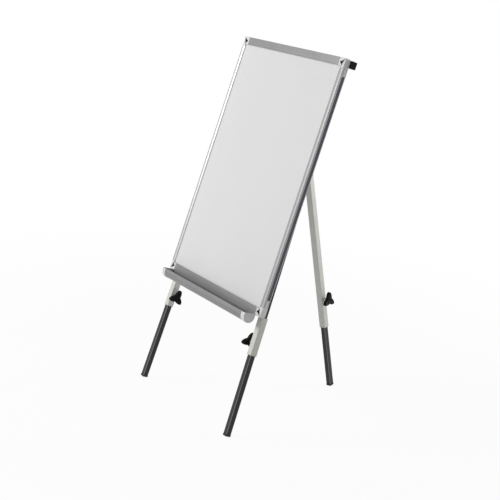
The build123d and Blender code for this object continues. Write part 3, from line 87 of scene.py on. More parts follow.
forward = Vector((
    -sin(CAMERA_AZIMUTH) * cos(CAMERA_PITCH),
    cos(CAMERA_AZIMUTH) * cos(CAMERA_PITCH),
    -sin(CAMERA_PITCH),
))
level_right = Vector((cos(CAMERA_AZIMUTH), sin(CAMERA_AZIMUTH), 0))
level_up = level_right.cross(forward)
image_right = level_right * cos(CAMERA_ROLL) + level_up * sin(CAMERA_ROLL)
image_up = level_up * cos(CAMERA_ROLL) - level_right * sin(CAMERA_ROLL)
camera_data = bpy.data.cameras.new("camera")
camera_data.lens = LENS_MM
camera_data.sensor_width = SENSOR_MM
camera_data.shift_x, camera_data.shift_y = LENS_SHIFT
camera_data.clip_end = FARTHEST_SEEN
camera = add_object("camera", camera_data)
eye = CAMERA_TARGET - forward * CAMERA_DISTANCE
camera.matrix_world = standing(eye, image_right, image_up, -forward)
bpy.context.scene.camera = camera
print("camera at", [round(value, 3) for value in eye])

# %% [markdown]
# ## Helpers for finishes
# Each finish below is a small tree of nodes: a Principled shader with its plain values set on its
# own sockets, patterns that change its colour and gloss, and a bump. A tree could be wired node by
# node, but every finish repeats the same few steps, so each step is a helper that is written once.


# %% Add a node, or start a finish
def add_node(tree, kind, inputs=None, **settings):
    """A new node. An input gets a plain value, or a link if it is given another node's output."""
    node = tree.nodes.new(kind)
    for setting, value in settings.items():
        setattr(node, setting, value)
    for socket, value in (inputs or {}).items():
        if hasattr(value, "links"):
            tree.links.new(value, node.inputs[socket])
        else:
            node.inputs[socket].default_value = value
    return node


def start_finish(name, color, roughness, metallic=0.0, **plain_values):
    """A new material, its node tree and its shader, with plain values on the shader's sockets."""
    finish = bpy.data.materials.new(name)
    finish.use_nodes = True
    shader = finish.node_tree.nodes["Principled BSDF"]
    shader.inputs["Base Color"].default_value = (*color, 1)
    shader.inputs["Roughness"].default_value = roughness
    shader.inputs["Metallic"].default_value = metallic
    for socket, value in plain_values.items():
        shader.inputs[socket.replace("_", " ")].default_value = value
    print("finish", name)
    return finish, finish.node_tree, shader


print("helpers: add_node, start_finish")

# %% [markdown]
# A pattern is read from Object coordinates. They are metres here, so a scale of 1000 means detail
# of about a millimetre, and they don't move on the piece when the easel is folded.

# %% Read a pattern from the object's own coordinates
NOISE = "ShaderNodeTexNoise"
CELLS = "ShaderNodeTexVoronoi"


def own_place(tree):
    """Where a point lies in its object's own coordinates."""
    return add_node(tree, "ShaderNodeTexCoord").outputs["Object"]


def pattern(tree, kind, scale, stretch=(1, 1, 1), tilt=0.0, **details):
    """A noise or cell pattern. Stretch makes grain along an axis; tilt leans it back about X."""
    leant = add_node(
        tree, "ShaderNodeMapping", {"Vector": own_place(tree), "Rotation": (tilt, 0, 0)}
    )
    drawn = add_node(
        tree, "ShaderNodeMapping", {"Vector": leant.outputs["Vector"], "Scale": stretch}
    )
    texture = add_node(tree, kind, {"Vector": drawn.outputs["Vector"], "Scale": scale, **details})
    return texture.outputs["Distance" if kind == CELLS else "Fac"]


print("helpers: own_place, pattern")

# %% [markdown]
# A pattern's values crowd round the middle, so a Map Range node brings them into the range that a
# socket needs. The Mix node has a pair of inputs for each kind of value it can mix, all with the
# same names, so its colours have to be reached by their numbers.

# %% Turn a pattern into colour, gloss and relief
MIX_FIRST, MIX_SECOND, MIX_RESULT = 6, 7, 2


def spread_values(tree, source, low, high, from_low=0.3, from_high=0.7):
    """Bring a pattern's middle values into the range that a socket needs."""
    ranges = {"From Min": from_low, "From Max": from_high, "To Min": low, "To Max": high}
    return add_node(tree, "ShaderNodeMapRange", {"Value": source, **ranges}).outputs["Result"]


def tint(tree, body, source, color, share=1, start=0.3, end=0.7):
    """A body colour that turns to another, up to a share, as a pattern goes from start to end."""
    amount = spread_values(tree, source, 0, share, start, end)
    first, second = (
        value if hasattr(value, "links") else (*value, 1) for value in (body, color)
    )
    inputs = {"Factor": amount, MIX_FIRST: first, MIX_SECOND: second}
    return add_node(tree, "ShaderNodeMix", inputs, data_type="RGBA").outputs[MIX_RESULT]


def cover(tree, body, mask, color, share):
    """A body colour with another over it where a mask is 1, at a share of its full strength."""
    return tint(tree, body, mask, color, share, start=0, end=1)


def color_and_gloss(tree, shader, body, source, smooth, rough, *middle):
    """Wire a colour to the shader, and a pattern that takes its roughness from smooth to rough."""
    tree.links.new(body, shader.inputs["Base Color"])
    gloss = spread_values(tree, source, smooth, rough, *middle)
    tree.links.new(gloss, shader.inputs["Roughness"])


def add_relief(tree, shader, source, distance, strength, under=None):
    """Bump from a pattern, in metres of height, on top of another normal if one is given."""
    inputs = {"Distance": distance, "Strength": strength, "Height": source}
    if under is not None:
        inputs["Normal"] = under
    bump = add_node(tree, "ShaderNodeBump", inputs)
    tree.links.new(bump.outputs["Normal"], shader.inputs["Normal"])


print("helpers: spread_values, tint, cover, color_and_gloss, add_relief")

# %% [markdown]
# Grooves and inner corners are painted darker than the open metal, as shade. The Ambient Occlusion
# node measures how open each point is, and follows any groove without a drawn mask.

# %% Darken the creases
CREASE_SAMPLES = 8


def crease_shade_mask(tree, depth, closed=0.45, opened=0.8, own=True):
    """1 deep in a groove and 0 on open metal. With own=False, other pieces close a corner too."""
    openness = add_node(
        tree,
        "ShaderNodeAmbientOcclusion",
        {"Distance": depth},
        samples=CREASE_SAMPLES,
        only_local=own,
    )
    return spread_values(tree, openness.outputs["AO"], 1, 0, closed, opened)


print("helper: crease_shade_mask")

# %% [markdown]
# ## White enamel
# The writing sheet is thin steel with a fired or baked white coat. Up close it isn't a flat white:
# it has a very low orange peel, a gloss that dry-wiping has dulled unevenly, and a faint grey haze
# of marker dust. The haze is large and weak, so it shows only as life in the white. Where the rails'
# lips close over the sheet, the white is painted grey as shade, and a thin grey line of painted
# shade runs along each side rail, between two distances from the middle of the board.

# %% Writing sheet
ENAMEL = (0.67, 0.67, 0.67)
ENAMEL_CLEAN = (0.676, 0.676, 0.677)
ENAMEL_HAZY = (0.664, 0.665, 0.666)
# Grey of the painted shade under the rails' lips and along the side rails.
LIP_SHADE_GREY = (0.2, 0.2, 0.19)
LIP_SHADE_SHARE = 0.8
SIDE_SHADE_LINE = (0.3255, 0.3275)


def calculate(tree, operation, *values):
    """One step of arithmetic, such as a product or the size of a number without its sign."""
    inputs = dict(enumerate(values))
    return add_node(tree, "ShaderNodeMath", inputs, operation=operation).outputs["Value"]


def white_enamel():
    finish, tree, shader = start_finish(
        "white_enamel", ENAMEL, roughness=0.34, Coat_Weight=0.1, Coat_Roughness=0.3
    )
    haze = pattern(tree, NOISE, scale=4.0, stretch=(1, 1, 0.45), Detail=6.0, Roughness=0.6)
    body = tint(tree, ENAMEL_CLEAN, haze, ENAMEL_HAZY)
    # Painted shade: the white turns grey where the rails' lips close over it.
    under_lip = crease_shade_mask(tree, depth=0.008, closed=0.6, opened=0.97, own=False)
    body = cover(tree, body, under_lip, LIP_SHADE_GREY, LIP_SHADE_SHARE)
    # Painted shade: a thin grey line along each side rail.
    place = add_node(tree, "ShaderNodeSeparateXYZ", {"Vector": own_place(tree)})
    off_middle = calculate(tree, "ABSOLUTE", place.outputs["X"])
    body = tint(tree, body, off_middle, LIP_SHADE_GREY, LIP_SHADE_SHARE, *SIDE_SHADE_LINE)
    wiped = pattern(tree, NOISE, scale=14.0, stretch=(0.35, 1, 1.6), Detail=5.0)
    color_and_gloss(tree, shader, body, wiped, smooth=0.33, rough=0.36)
    peel = pattern(tree, NOISE, scale=420.0, Detail=2.0)
    add_relief(tree, shader, peel, distance=0.00002, strength=0.4)
    return finish


enamel = white_enamel()

# %% [markdown]
# ## Worn and rounded edges
# Handling wears a coat first along its edges. The Bevel node gives the normal that a rounded edge
# would have, and where that differs from the true normal there is an edge. It costs a few rays but
# needs no painted mask, and it follows every edge of the CAD pieces by itself.
#
# A real edge is never perfectly sharp either: a rolled tube has a corner radius and a moulded part
# has a small round, and each catches a thin line of light. The CAD meshes keep their drawn edges,
# so the round is given to the shading alone: the same normal goes under each finish's relief.

# %% Find the edges, and round them in the shading
WEAR_SAMPLES = 4
ROUND_SAMPLES = 6
SHARP_LIKENESS = 0.75
FLAT_LIKENESS = 0.98


def soft_edges(tree, radius, samples=ROUND_SAMPLES):
    """The normal that the surface would have if its edges were rounded."""
    return add_node(tree, "ShaderNodeBevel", {"Radius": radius}, samples=samples).outputs["Normal"]


def dot_product(tree, first, second):
    """How far one direction or place goes along another."""
    inputs = {0: first, 1: second}
    node = add_node(tree, "ShaderNodeVectorMath", inputs, operation="DOT_PRODUCT")
    return node.outputs["Value"]


def edge_mask(tree, radius):
    """0 on flat ground and 1 on edges sharper than the radius."""
    rounded = soft_edges(tree, radius, WEAR_SAMPLES)
    true = add_node(tree, "ShaderNodeNewGeometry").outputs["Normal"]
    likeness = dot_product(tree, rounded, true)
    return spread_values(tree, likeness, 1, 0, SHARP_LIKENESS, FLAT_LIKENESS)


print("helpers: soft_edges, dot_product, edge_mask")

# %% [markdown]
# ## Anodised rails
# The rails and the tray are extruded aluminium, etched and anodised to a satin grey. Extrusion
# leaves fine lines along the profile, so the grain is noise stretched along each rail: across the
# board for the top, bottom and tray, and up the leaning board for the sides. The side rails get a
# lighter copy of the grey, as a painted sheen. The channel in the flank of a side rail is painted
# dark, as shade. It lies between two depths behind the board's front, and a dot product with the
# board's own backward direction measures that depth at every point.

# %% Find the side rails' channel
BOARD_LEAN = radians(15.7)
BOARD_FOOT = Vector((0, -0.268811, 0.463))
TOWARDS_BACK = Vector((0, cos(BOARD_LEAN), -sin(BOARD_LEAN)))
# The channel between these depths is painted dark, as shade.
CHANNEL_DEPTHS = (0.0078, 0.0204)
CHANNEL_BLUR = 0.0002


def band(tree, value, rise, fall):
    """1 between a value's rise and its fall, and 0 outside them. Each has a start and an end."""
    risen = spread_values(tree, value, 0, 1, *rise)
    not_fallen = spread_values(tree, value, 1, 0, *fall)
    return calculate(tree, "MULTIPLY", risen, not_fallen)


def channel_mask(tree):
    """1 between two depths behind the board's front plane, and 0 elsewhere."""
    front = BOARD_FOOT.dot(TOWARDS_BACK)
    rise, fall = (
        (front + depth - CHANNEL_BLUR, front + depth + CHANNEL_BLUR) for depth in CHANNEL_DEPTHS
    )
    return band(tree, dot_product(tree, own_place(tree), TOWARDS_BACK), rise, fall)


print("channel", CHANNEL_DEPTHS, "m behind the front")

# %% Rails and tray
ALONG_X = (0.012, 1, 1)
ALONG_Z = (1, 1, 0.012)
ACROSS_GREY = (0.215, 0.21, 0.215)
ACROSS_PALE = (0.37, 0.365, 0.37)
# The side rails' greys are a lighter copy of the cross rails' greys: a painted sheen.
UPRIGHT_SHEEN_GREY = (0.34, 0.34, 0.345)
UPRIGHT_SHEEN_PALE = (0.55, 0.55, 0.55)
CREASE_SHADE = (0.075, 0.068, 0.09)
DARKER = 0.93


def shade(color, factor, lift=0.0):
    """A colour made darker or lighter by a factor, and lifted a little."""
    return tuple(min(1, value * factor + lift) for value in color)


def anodised(name, grain, tilt, color, pale, channel=False):
    finish, tree, shader = start_finish(name, color, roughness=0.38, metallic=0.55)
    lines = pattern(
        tree, NOISE, scale=900.0, stretch=grain, tilt=tilt, Detail=4.0, Roughness=0.65
    )
    clouds = pattern(tree, NOISE, scale=9.0, Detail=4.0)
    body = tint(tree, color, clouds, shade(color, DARKER))
    body = tint(tree, body, lines, pale, share=0.22)
    body = cover(tree, body, edge_mask(tree, radius=0.0008), pale, share=0.5)
    # Painted shade in the rail's creases and inner corners.
    body = cover(tree, body, crease_shade_mask(tree, depth=0.005), CREASE_SHADE, share=0.85)
    if channel:
        # Painted shade: the side rail's channel is covered almost fully in dark grey.
        body = cover(tree, body, channel_mask(tree), CREASE_SHADE, share=0.96)
    color_and_gloss(tree, shader, body, lines, smooth=0.32, rough=0.48)
    rounded = soft_edges(tree, radius=0.0007)
    add_relief(tree, shader, lines, distance=0.00003, strength=0.5, under=rounded)
    return finish


rail_across = anodised("anodised_across", ALONG_X, 0, ACROSS_GREY, ACROSS_PALE)
rail_upright = anodised(
    "anodised_upright", ALONG_Z, -BOARD_LEAN, UPRIGHT_SHEEN_GREY, UPRIGHT_SHEEN_PALE, channel=True
)

# %% [markdown]
# ## Powder coat
# The square tubes are steel with a baked powder coat: pale grey on the outer tubes, and a dark
# graphite one, with fine metal flake and more gloss, on the inner tubes that slide in them. Both
# have the low, rounded texture that the powder leaves as it melts. The inner tubes also carry
# faint rub lines along their length, from the bushes. A pale line on their corners is partly polish
# from the bushes and partly a painted highlight, and their worn edges are painted pale enough to
# add to it. The surface's own normal tells the flats from the corners: its share in the
# direction across the leg is 0 on one pair of faces, 1 on the other, and between on a corner.

# %% Outer tubes
COAT_PALE = (0.62, 0.62, 0.575)
COAT_CLOUD = (0.59, 0.59, 0.55)
COAT_WORN = (0.7, 0.7, 0.68)


def pale_coat():
    finish, tree, shader = start_finish("pale_powder_coat", COAT_PALE, roughness=0.42)
    clouds = pattern(tree, NOISE, scale=11.0, Detail=5.0)
    body = tint(tree, COAT_PALE, clouds, COAT_CLOUD)
    body = cover(tree, body, edge_mask(tree, radius=0.0007), COAT_WORN, share=0.35)
    peel = pattern(tree, NOISE, scale=850.0, Detail=2.0)
    color_and_gloss(tree, shader, body, peel, smooth=0.36, rough=0.5)
    rounded = soft_edges(tree, radius=0.0014)
    add_relief(tree, shader, peel, distance=0.00006, strength=0.6, under=rounded)
    return finish


pale_powder = pale_coat()

# %% Inner tubes
GRAPHITE = (0.014, 0.014, 0.015)
GRAPHITE_BINDER = (0.009, 0.009, 0.010)
GRAPHITE_FLAKE = (0.028, 0.028, 0.03)
GRAPHITE_RUBBED = (0.045, 0.045, 0.045)
# Pale corner line: partly polish from the bushes, partly painted highlight.
CORNER_POLISH_AND_HIGHLIGHT = (0.26, 0.26, 0.265)
# Pale worn edges, also partly a painted highlight.
EDGE_WEAR_AND_HIGHLIGHT = (0.2, 0.2, 0.21)
OFF_FRONT = (0.15, 0.4)
OFF_SIDE = (0.9, 0.98)
FRONT_ACROSS = (1, 0, 0)
REAR_LEAN = radians(-13.5)
REAR_TURN = radians(18)
REAR_ACROSS = (
    cos(REAR_TURN),
    sin(REAR_TURN) * cos(REAR_LEAN),
    -sin(REAR_TURN) * sin(REAR_LEAN),
)


def corner_mask(tree, across):
    """1 on the round corners of a tube whose side face points across, and 0 on its flats."""
    own_normal = add_node(tree, "ShaderNodeTexCoord").outputs["Normal"]
    share = calculate(tree, "ABSOLUTE", dot_product(tree, own_normal, across))
    return band(tree, share, rise=OFF_FRONT, fall=OFF_SIDE)


def graphite_coat(name, tilt, across):
    finish, tree, shader = start_finish(
        name, GRAPHITE, roughness=0.25, Specular_IOR_Level=0.3
    )
    flake = pattern(tree, CELLS, scale=1800.0)
    rubs = pattern(tree, NOISE, scale=700.0, stretch=ALONG_Z, tilt=tilt, Detail=3.0)
    body = tint(tree, GRAPHITE_BINDER, flake, GRAPHITE_FLAKE, share=0.5, start=0.1, end=0.7)
    body = tint(tree, body, rubs, GRAPHITE_RUBBED, share=0.35, start=0.55, end=0.75)
    # Painted highlight, partly polish: a pale line on the tube's round corners.
    body = cover(tree, body, corner_mask(tree, across), CORNER_POLISH_AND_HIGHLIGHT, share=0.85)
    # Worn edges, painted pale enough to act as a highlight too.
    body = cover(tree, body, edge_mask(tree, radius=0.0009), EDGE_WEAR_AND_HIGHLIGHT, share=0.5)
    color_and_gloss(tree, shader, body, rubs, smooth=0.2, rough=0.34)
    rounded = soft_edges(tree, radius=0.0028)
    add_relief(tree, shader, flake, distance=0.00002, strength=0.4, under=rounded)
    return finish


graphite_front = graphite_coat("graphite_front", -BOARD_LEAN, FRONT_ACROSS)
graphite_rear = graphite_coat("graphite_rear", -REAR_LEAN, REAR_ACROSS)

# %% [markdown]
# ## Moulded plastics and rubber
# Moulded pieces take their texture from a spark-eroded mould: a fine, even pitting that scatters
# the light, a little smoother on edges that hands have polished. The same tree makes the pale
# corner pieces, the black covers and knobs, and the grey bushes, with their own colours. Rubber
# has a coarser, softer skin and a bloom of pale dust in its hollows. Plain noise suits them all,
# because a moulded skin has no direction.

# %% Moulded plastic
CLEAN_PALE = (0.66, 0.665, 0.66)
NEAR_BLACK = (0.003, 0.003, 0.003)
MIDDLE_GREY = (0.36, 0.36, 0.36)
LIGHTER = (1.08, 0.001)
POLISHED = (1.15, 0.015)
SMOOTHER, ROUGHER = 0.07, 0.1


def moulded(name, color, gloss, pitting, specular=0.5):
    finish, tree, shader = start_finish(name, color, gloss, Specular_IOR_Level=specular)
    clouds = pattern(tree, NOISE, scale=26.0, Detail=4.0)
    body = tint(tree, shade(color, *LIGHTER), clouds, shade(color, DARKER))
    polished = shade(color, *POLISHED)
    body = cover(tree, body, edge_mask(tree, radius=0.0007), polished, share=0.5)
    pits = pattern(tree, NOISE, scale=pitting, Detail=3.0, Roughness=0.6)
    color_and_gloss(tree, shader, body, pits, smooth=gloss - SMOOTHER, rough=gloss + ROUGHER)
    rounded = soft_edges(tree, radius=0.0008)
    add_relief(tree, shader, pits, distance=0.00005, strength=0.6, under=rounded)
    return finish


pale_moulded = moulded("pale_moulded", CLEAN_PALE, gloss=0.36, pitting=1400.0)
black_moulded = moulded("black_moulded", NEAR_BLACK, gloss=0.5, pitting=1500.0, specular=0.1)
grey_moulded = moulded("grey_moulded", MIDDLE_GREY, gloss=0.4, pitting=1400.0)

# %% Foot rubber
RUBBER = (0.022, 0.022, 0.022)
RUBBER_CLEAN = (0.018, 0.018, 0.018)
RUBBER_BLOOM = (0.09, 0.088, 0.084)


def foot_rubber():
    finish, tree, shader = start_finish("foot_rubber", RUBBER, roughness=0.75)
    dust = pattern(tree, NOISE, scale=90.0, Detail=6.0, Roughness=0.7)
    body = tint(tree, RUBBER_CLEAN, dust, RUBBER_BLOOM, share=0.5, start=0.5, end=0.75)
    skin = pattern(tree, NOISE, scale=1100.0, Detail=3.0)
    color_and_gloss(tree, shader, body, skin, smooth=0.68, rough=0.85)
    rounded = soft_edges(tree, radius=0.0008)
    add_relief(tree, shader, skin, distance=0.00008, strength=0.7, under=rounded)
    return finish


rubber = foot_rubber()

# %% [markdown]
# ## Plated steel, galvanised back, fibreboard
# The screws, studs, brackets and hinge are zinc plated: a cool grey metal with tiny crystals and
# cloudy changes of gloss. The board's back is a thin galvanised sheet, whose large flat crystals,
# called spangle, are cells that each turn the light another way. The core is brown fibreboard; it
# is all but hidden, but its finish is there for whoever takes the board apart.

# %% Plated steel
ZINC = (0.55, 0.56, 0.57)
ZINC_BRIGHT = (0.58, 0.59, 0.60)
ZINC_CLOUD = (0.45, 0.45, 0.45)
ZINC_WORN = (0.72, 0.72, 0.72)


def zinc_plate():
    finish, tree, shader = start_finish("zinc_plate", ZINC, roughness=0.34, metallic=0.9)
    clouds = pattern(tree, NOISE, scale=120.0, Detail=5.0)
    body = tint(tree, ZINC_BRIGHT, clouds, ZINC_CLOUD)
    body = cover(tree, body, edge_mask(tree, radius=0.0005), ZINC_WORN, share=0.6)
    color_and_gloss(tree, shader, body, clouds, smooth=0.26, rough=0.45)
    crystals = pattern(tree, CELLS, scale=2200.0)
    rounded = soft_edges(tree, radius=0.0004)
    add_relief(tree, shader, crystals, distance=0.00003, strength=0.4, under=rounded)
    return finish


zinc = zinc_plate()

# %% Galvanised back
SHEET_GREY = (0.5, 0.51, 0.52)
SPANGLE_BRIGHT = (0.56, 0.57, 0.58)
SPANGLE_DULL = (0.42, 0.43, 0.44)
SPANGLE_REACH = (0.0, 0.8)


def galvanised():
    finish, tree, shader = start_finish("galvanised_sheet", SHEET_GREY, 0.4, metallic=0.6)
    spangle = pattern(tree, CELLS, scale=75.0, Randomness=1.0)
    body = tint(tree, SPANGLE_BRIGHT, spangle, SPANGLE_DULL, 1, *SPANGLE_REACH)
    color_and_gloss(tree, shader, body, spangle, 0.32, 0.5, *SPANGLE_REACH)
    ripple = pattern(tree, NOISE, scale=300.0, Detail=3.0)
    add_relief(tree, shader, ripple, distance=0.00004, strength=0.4)
    return finish


galvanised_sheet = galvanised()

# %% Fibreboard core
FIBRE = (0.33, 0.22, 0.12)
FIBRE_PALE = (0.40, 0.27, 0.15)
FIBRE_DARK = (0.24, 0.155, 0.08)


def fibreboard():
    finish, tree, shader = start_finish("fibreboard", FIBRE, roughness=0.85)
    fibres = pattern(
        tree, NOISE, scale=600.0, stretch=(0.25, 1, 1), Detail=6.0, Roughness=0.7
    )
    body = tint(tree, FIBRE_PALE, fibres, FIBRE_DARK)
    tree.links.new(body, shader.inputs["Base Color"])
    add_relief(tree, shader, fibres, distance=0.0002, strength=0.7)
    return finish


fibre_core = fibreboard()

# %% [markdown]
# ## Which piece gets which finish
# The imported record names one material slot for each node, and most slots need one finish. Two need
# more, because grain has to run along the piece: the side rails differ from the cross rails, and
# the rear inner tube differs from the front ones, which lean the other way. The side rails' finish
# is also lighter, a painted sheen, and the rear tube's finish finds its own corners for the painted
# highlight.

# %% Dress the CAD nodes
finish_of_slot = {
    "enamel_white": enamel,
    "core_board": fibre_core,
    "backing_sheet": galvanised_sheet,
    "rail_aluminium": rail_across,
    "corner_plastic": pale_moulded,
    "black_plastic": black_moulded,
    "tube_light": pale_powder,
    "tube_dark": graphite_front,
    "zinc_steel": zinc,
    "grey_plastic": grey_moulded,
    "foot_rubber": rubber,
}
finish_of_node = {
    "side_rail_left": rail_upright,
    "side_rail_right": rail_upright,
    "rear_tube": graphite_rear,
}
subparts = frame["record"]["subparts"]
for row in subparts:
    node = frame["nodes"][row["node"]]
    finish = finish_of_node.get(row["node"], finish_of_slot[row["material_slot"]])
    for material_slot in node.material_slots:
        material_slot.material = finish
    if not node.material_slots:
        node.data.materials.append(finish)
used = {finish.name for finish in (*finish_of_slot.values(), *finish_of_node.values())}
print("dressed", len(subparts), "nodes with", len(used), "finishes")

# %% [markdown]
# ## Weld beads
# Each clamp screws through a round boss welded on its tube. The weld is a bead of small overlapping
# scallops, painted over with the tube. A texture could hint at it, but it has a real outline
# against the light, so it is a mesh: a small circle is spun round the boss's axis, and its points
# are then moved in and out along the ring. The boss in the CAD model gives the place and direction.


# %% Turn a bmesh into a riding piece
def add_piece(name, shape, place, finish, body):
    """Stand a shape in its place, make it an object with a finish, and let it ride on a body."""
    bmesh.ops.transform(shape, matrix=place, verts=shape.verts)
    bmesh.ops.recalc_face_normals(shape, faces=shape.faces)
    mesh = bpy.data.meshes.new(name)
    shape.to_mesh(mesh)
    shape.free()
    for face in mesh.polygons:
        face.use_smooth = True
    mesh.materials.append(finish)
    made = add_object(name, mesh)
    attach(made, body)
    print("piece", name, "faces", len(mesh.polygons))
    return made


# %% Spin a ring
RING_SEGMENTS = 12
RING_STEPS = 96
MERGE_DISTANCE = 1e-6


def ring_shape(radius, thickness, flat=1.0):
    """A ring about Z whose section is a small circle, flattened by a factor along Z."""
    shape = bmesh.new()
    to_side = Matrix.Translation((radius, 0, 0)) @ Matrix.Rotation(pi / 2, 4, "X")
    bmesh.ops.create_circle(shape, segments=RING_SEGMENTS, radius=thickness, matrix=to_side)
    bmesh.ops.spin(
        shape,
        geom=shape.edges[:],
        cent=(0, 0, 0),
        axis=(0, 0, 1),
        angle=2 * pi,
        steps=RING_STEPS,
        use_merge=True,
    )
    bmesh.ops.remove_doubles(shape, verts=shape.verts, dist=MERGE_DISTANCE)
    bmesh.ops.scale(shape, verts=shape.verts, vec=(1, 1, flat))
    return shape


# %% Find a clamp's boss
joint_named = {joint["name"]: joint for joint in frame["joints"]}


def clamp_line(side):
    """A point on a clamp's axis, and the direction from the tube out through the knob."""
    joint = joint_named[f"clamp_{side}_turn"]
    return Vector(joint["pos_m"]), Vector(joint["axis"]).normalized()


def heights_along(node, axis):
    """The lowest and highest of a node's points along an axis."""
    heights = [point.co.dot(axis) for point in frame["nodes"][node].data.vertices]
    return min(heights), max(heights)


def middle_of(node):
    """The middle of a node's box."""
    low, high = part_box(node)
    return (Vector(low) + Vector(high)) / 2


def moved_to(point, axis, height):
    """A point moved along an axis until it lies at a height on it."""
    return point + axis * (height - point.dot(axis))


def place_on(axis, centre):
    """The matrix that stands a shape made about Z on a point, with Z along the axis."""
    return Matrix.Translation(centre) @ axis.to_track_quat("Z", "Y").to_matrix().to_4x4()


# %% Weld the bosses
BOSS_RADIUS = 0.007
BOSS_IN_WALL = 0.001
BEAD_THICKNESS = 0.0013
BEAD_OFFSET = BEAD_THICKNESS * 0.35
SCALLOPS = 22
SCALLOP_DEPTH = 0.00044
CLAMP_BODIES = {"left": "board", "right": "board", "rear": "rear_leg"}

for side, body in CLAMP_BODIES.items():
    axis = clamp_line(side)[1]
    boss_foot = heights_along(f"clamp_boss_{side}", axis)[0]
    seat = moved_to(middle_of(f"clamp_boss_{side}"), axis, boss_foot + BOSS_IN_WALL)
    bead = ring_shape(BOSS_RADIUS + BEAD_OFFSET, BEAD_THICKNESS)
    for point in bead.verts:
        outward = Vector((point.co.x, point.co.y, 0)).normalized()
        turn_at = outward.to_2d().angle_signed(Vector((1, 0)))
        point.co += outward * SCALLOP_DEPTH * abs(cos(SCALLOPS * turn_at / 2))
    add_piece(
        f"weld_bead_{side}", bead, place_on(axis, seat), pale_powder, body
    )

# %% [markdown]
# ## Clamp knobs
# A clamp knob is one thick moulding with three full lobes, made to be turned by a whole hand. Its
# CAD solid has the right reach, place and collision, but its webs are cut by plain arcs, which
# leaves the arms thin. This mesh stands for it: a circle whose points are pushed out three times
# round, extruded and bevelled, with a dished face, on a short round neck. The lobes point where
# those of the CAD knob do, so what is seen still matches what is hit.


# %% Thicken a plate and round its rims
LEVEL_LIMIT = 1e-7


def thicken(plate, depth):
    """Extrude a flat plate up by a depth."""
    lifted = bmesh.ops.extrude_face_region(plate, geom=plate.faces[:])["geom"]
    top_points = [part for part in lifted if isinstance(part, bmesh.types.BMVert)]
    bmesh.ops.translate(plate, verts=top_points, vec=(0, 0, depth))


def round_rims(plate, offset, segments, clamp_overlap=False):
    """Bevel the edges that lie level, which are the upper and lower rims of a thickened plate."""
    ends = ((edge, edge.verts[0].co.z, edge.verts[1].co.z) for edge in plate.edges)
    bmesh.ops.bevel(
        plate,
        geom=[edge for edge, first, second in ends if abs(first - second) < LEVEL_LIMIT],
        offset=offset,
        affect="EDGES",
        segments=segments,
        profile=0.5,
        material=-1,
        clamp_overlap=clamp_overlap,
    )


print("helpers: thicken, round_rims")

# %% Shape a knob
LOBES = 3
KNOB_POINTS = 120
WEB_RADIUS = 0.0150
WEB_CURVE = 2.3
TIP_ROUND = radians(12)
RIM_ROUND = 0.0026
RIM_SEGMENTS = 5
DISH_RIM = 0.0035
DISH_DEPTH = 0.0009
NECK_POINTS = 48
NECK_RADIUS = 0.010
NECK_FLARE = 1.15
NECK_HEIGHT = 0.0045
NECK_LENGTH = NECK_HEIGHT * 1.2
HEIGHT_DIGITS = 5


def lobe_radius(turn_at, tip_radius):
    """How far the knob's outline is from its axis, in a direction."""
    from_tip = abs((turn_at + pi / LOBES) % (2 * pi / LOBES) - pi / LOBES)
    eased = (from_tip**2 + TIP_ROUND**2) ** 0.5 - TIP_ROUND
    swell = max(0, 1 - eased * LOBES / pi) ** WEB_CURVE
    return WEB_RADIUS + (tip_radius - WEB_RADIUS) * swell


def height_and_area(face):
    """What the knob's top face has most of: height, to a hundredth of a millimetre, and area."""
    return round(face.calc_center_median().z, HEIGHT_DIGITS), face.calc_area()


def knob_shape(tip_radius, height):
    """A three-lobed knob about Z, from its neck at zero height, with a lobe along X."""
    shape = bmesh.new()
    bmesh.ops.create_circle(shape, cap_ends=True, segments=KNOB_POINTS, radius=1)
    for point in shape.verts:
        turn_at = Vector((point.co.x, point.co.y)).angle_signed(Vector((1, 0)))
        point.co = point.co.normalized() * lobe_radius(turn_at, tip_radius)
        point.co.z = NECK_HEIGHT
    thicken(shape, height - NECK_HEIGHT)
    round_rims(shape, RIM_ROUND, RIM_SEGMENTS, clamp_overlap=True)
    top = max(shape.faces, key=height_and_area)
    bmesh.ops.inset_region(shape, faces=[top], thickness=DISH_RIM, depth=-DISH_DEPTH)
    bmesh.ops.create_cone(
        shape,
        cap_ends=True,
        segments=NECK_POINTS,
        radius1=NECK_RADIUS,
        radius2=NECK_RADIUS * NECK_FLARE,
        depth=NECK_LENGTH,
        matrix=Matrix.Translation((0, 0, NECK_LENGTH / 2)),
    )
    return shape


print("knob outline from", WEB_RADIUS, "m at the webs, in", LOBES, "lobes")

# %% Mould the knobs
for side in CLAMP_BODIES:
    pivot, axis = clamp_line(side)
    inner, outer = heights_along(f"clamp_knob_{side}", axis)
    seat = moved_to(pivot, axis, inner)
    points = frame["nodes"][f"clamp_knob_{side}"].data.vertices
    spokes = [moved_to(point.co - seat, axis, 0) for point in points]
    tip = max(spokes, key=lambda spoke: spoke.length)
    to_tip = tip.normalized()
    moulding = add_piece(
        f"knob_moulding_{side}",
        knob_shape(tip.length, outer - inner),
        standing(seat, to_tip, axis.cross(to_tip), axis),
        black_moulded,
        f"knob_{side}",
    )
    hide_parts(f"clamp_knob_{side}")
    print("knob", side, "reach", round(tip.length, 4), "height", round(outer - inner, 4))

# %% [markdown]
# ## Moulded rings on the knobs
# The outer face of a clamp knob carries a low raised ring round the dimple where the stud is
# pressed in. It comes from the mould's insert, and it is the part that a thumb polishes. It is
# spun in the same way as the weld bead, flatter and without the scallops.

# %% Ring the knobs
KNOB_RING_RADIUS = 0.0085
KNOB_RING_THICKNESS = 0.0009
KNOB_RING_FLAT = 0.7

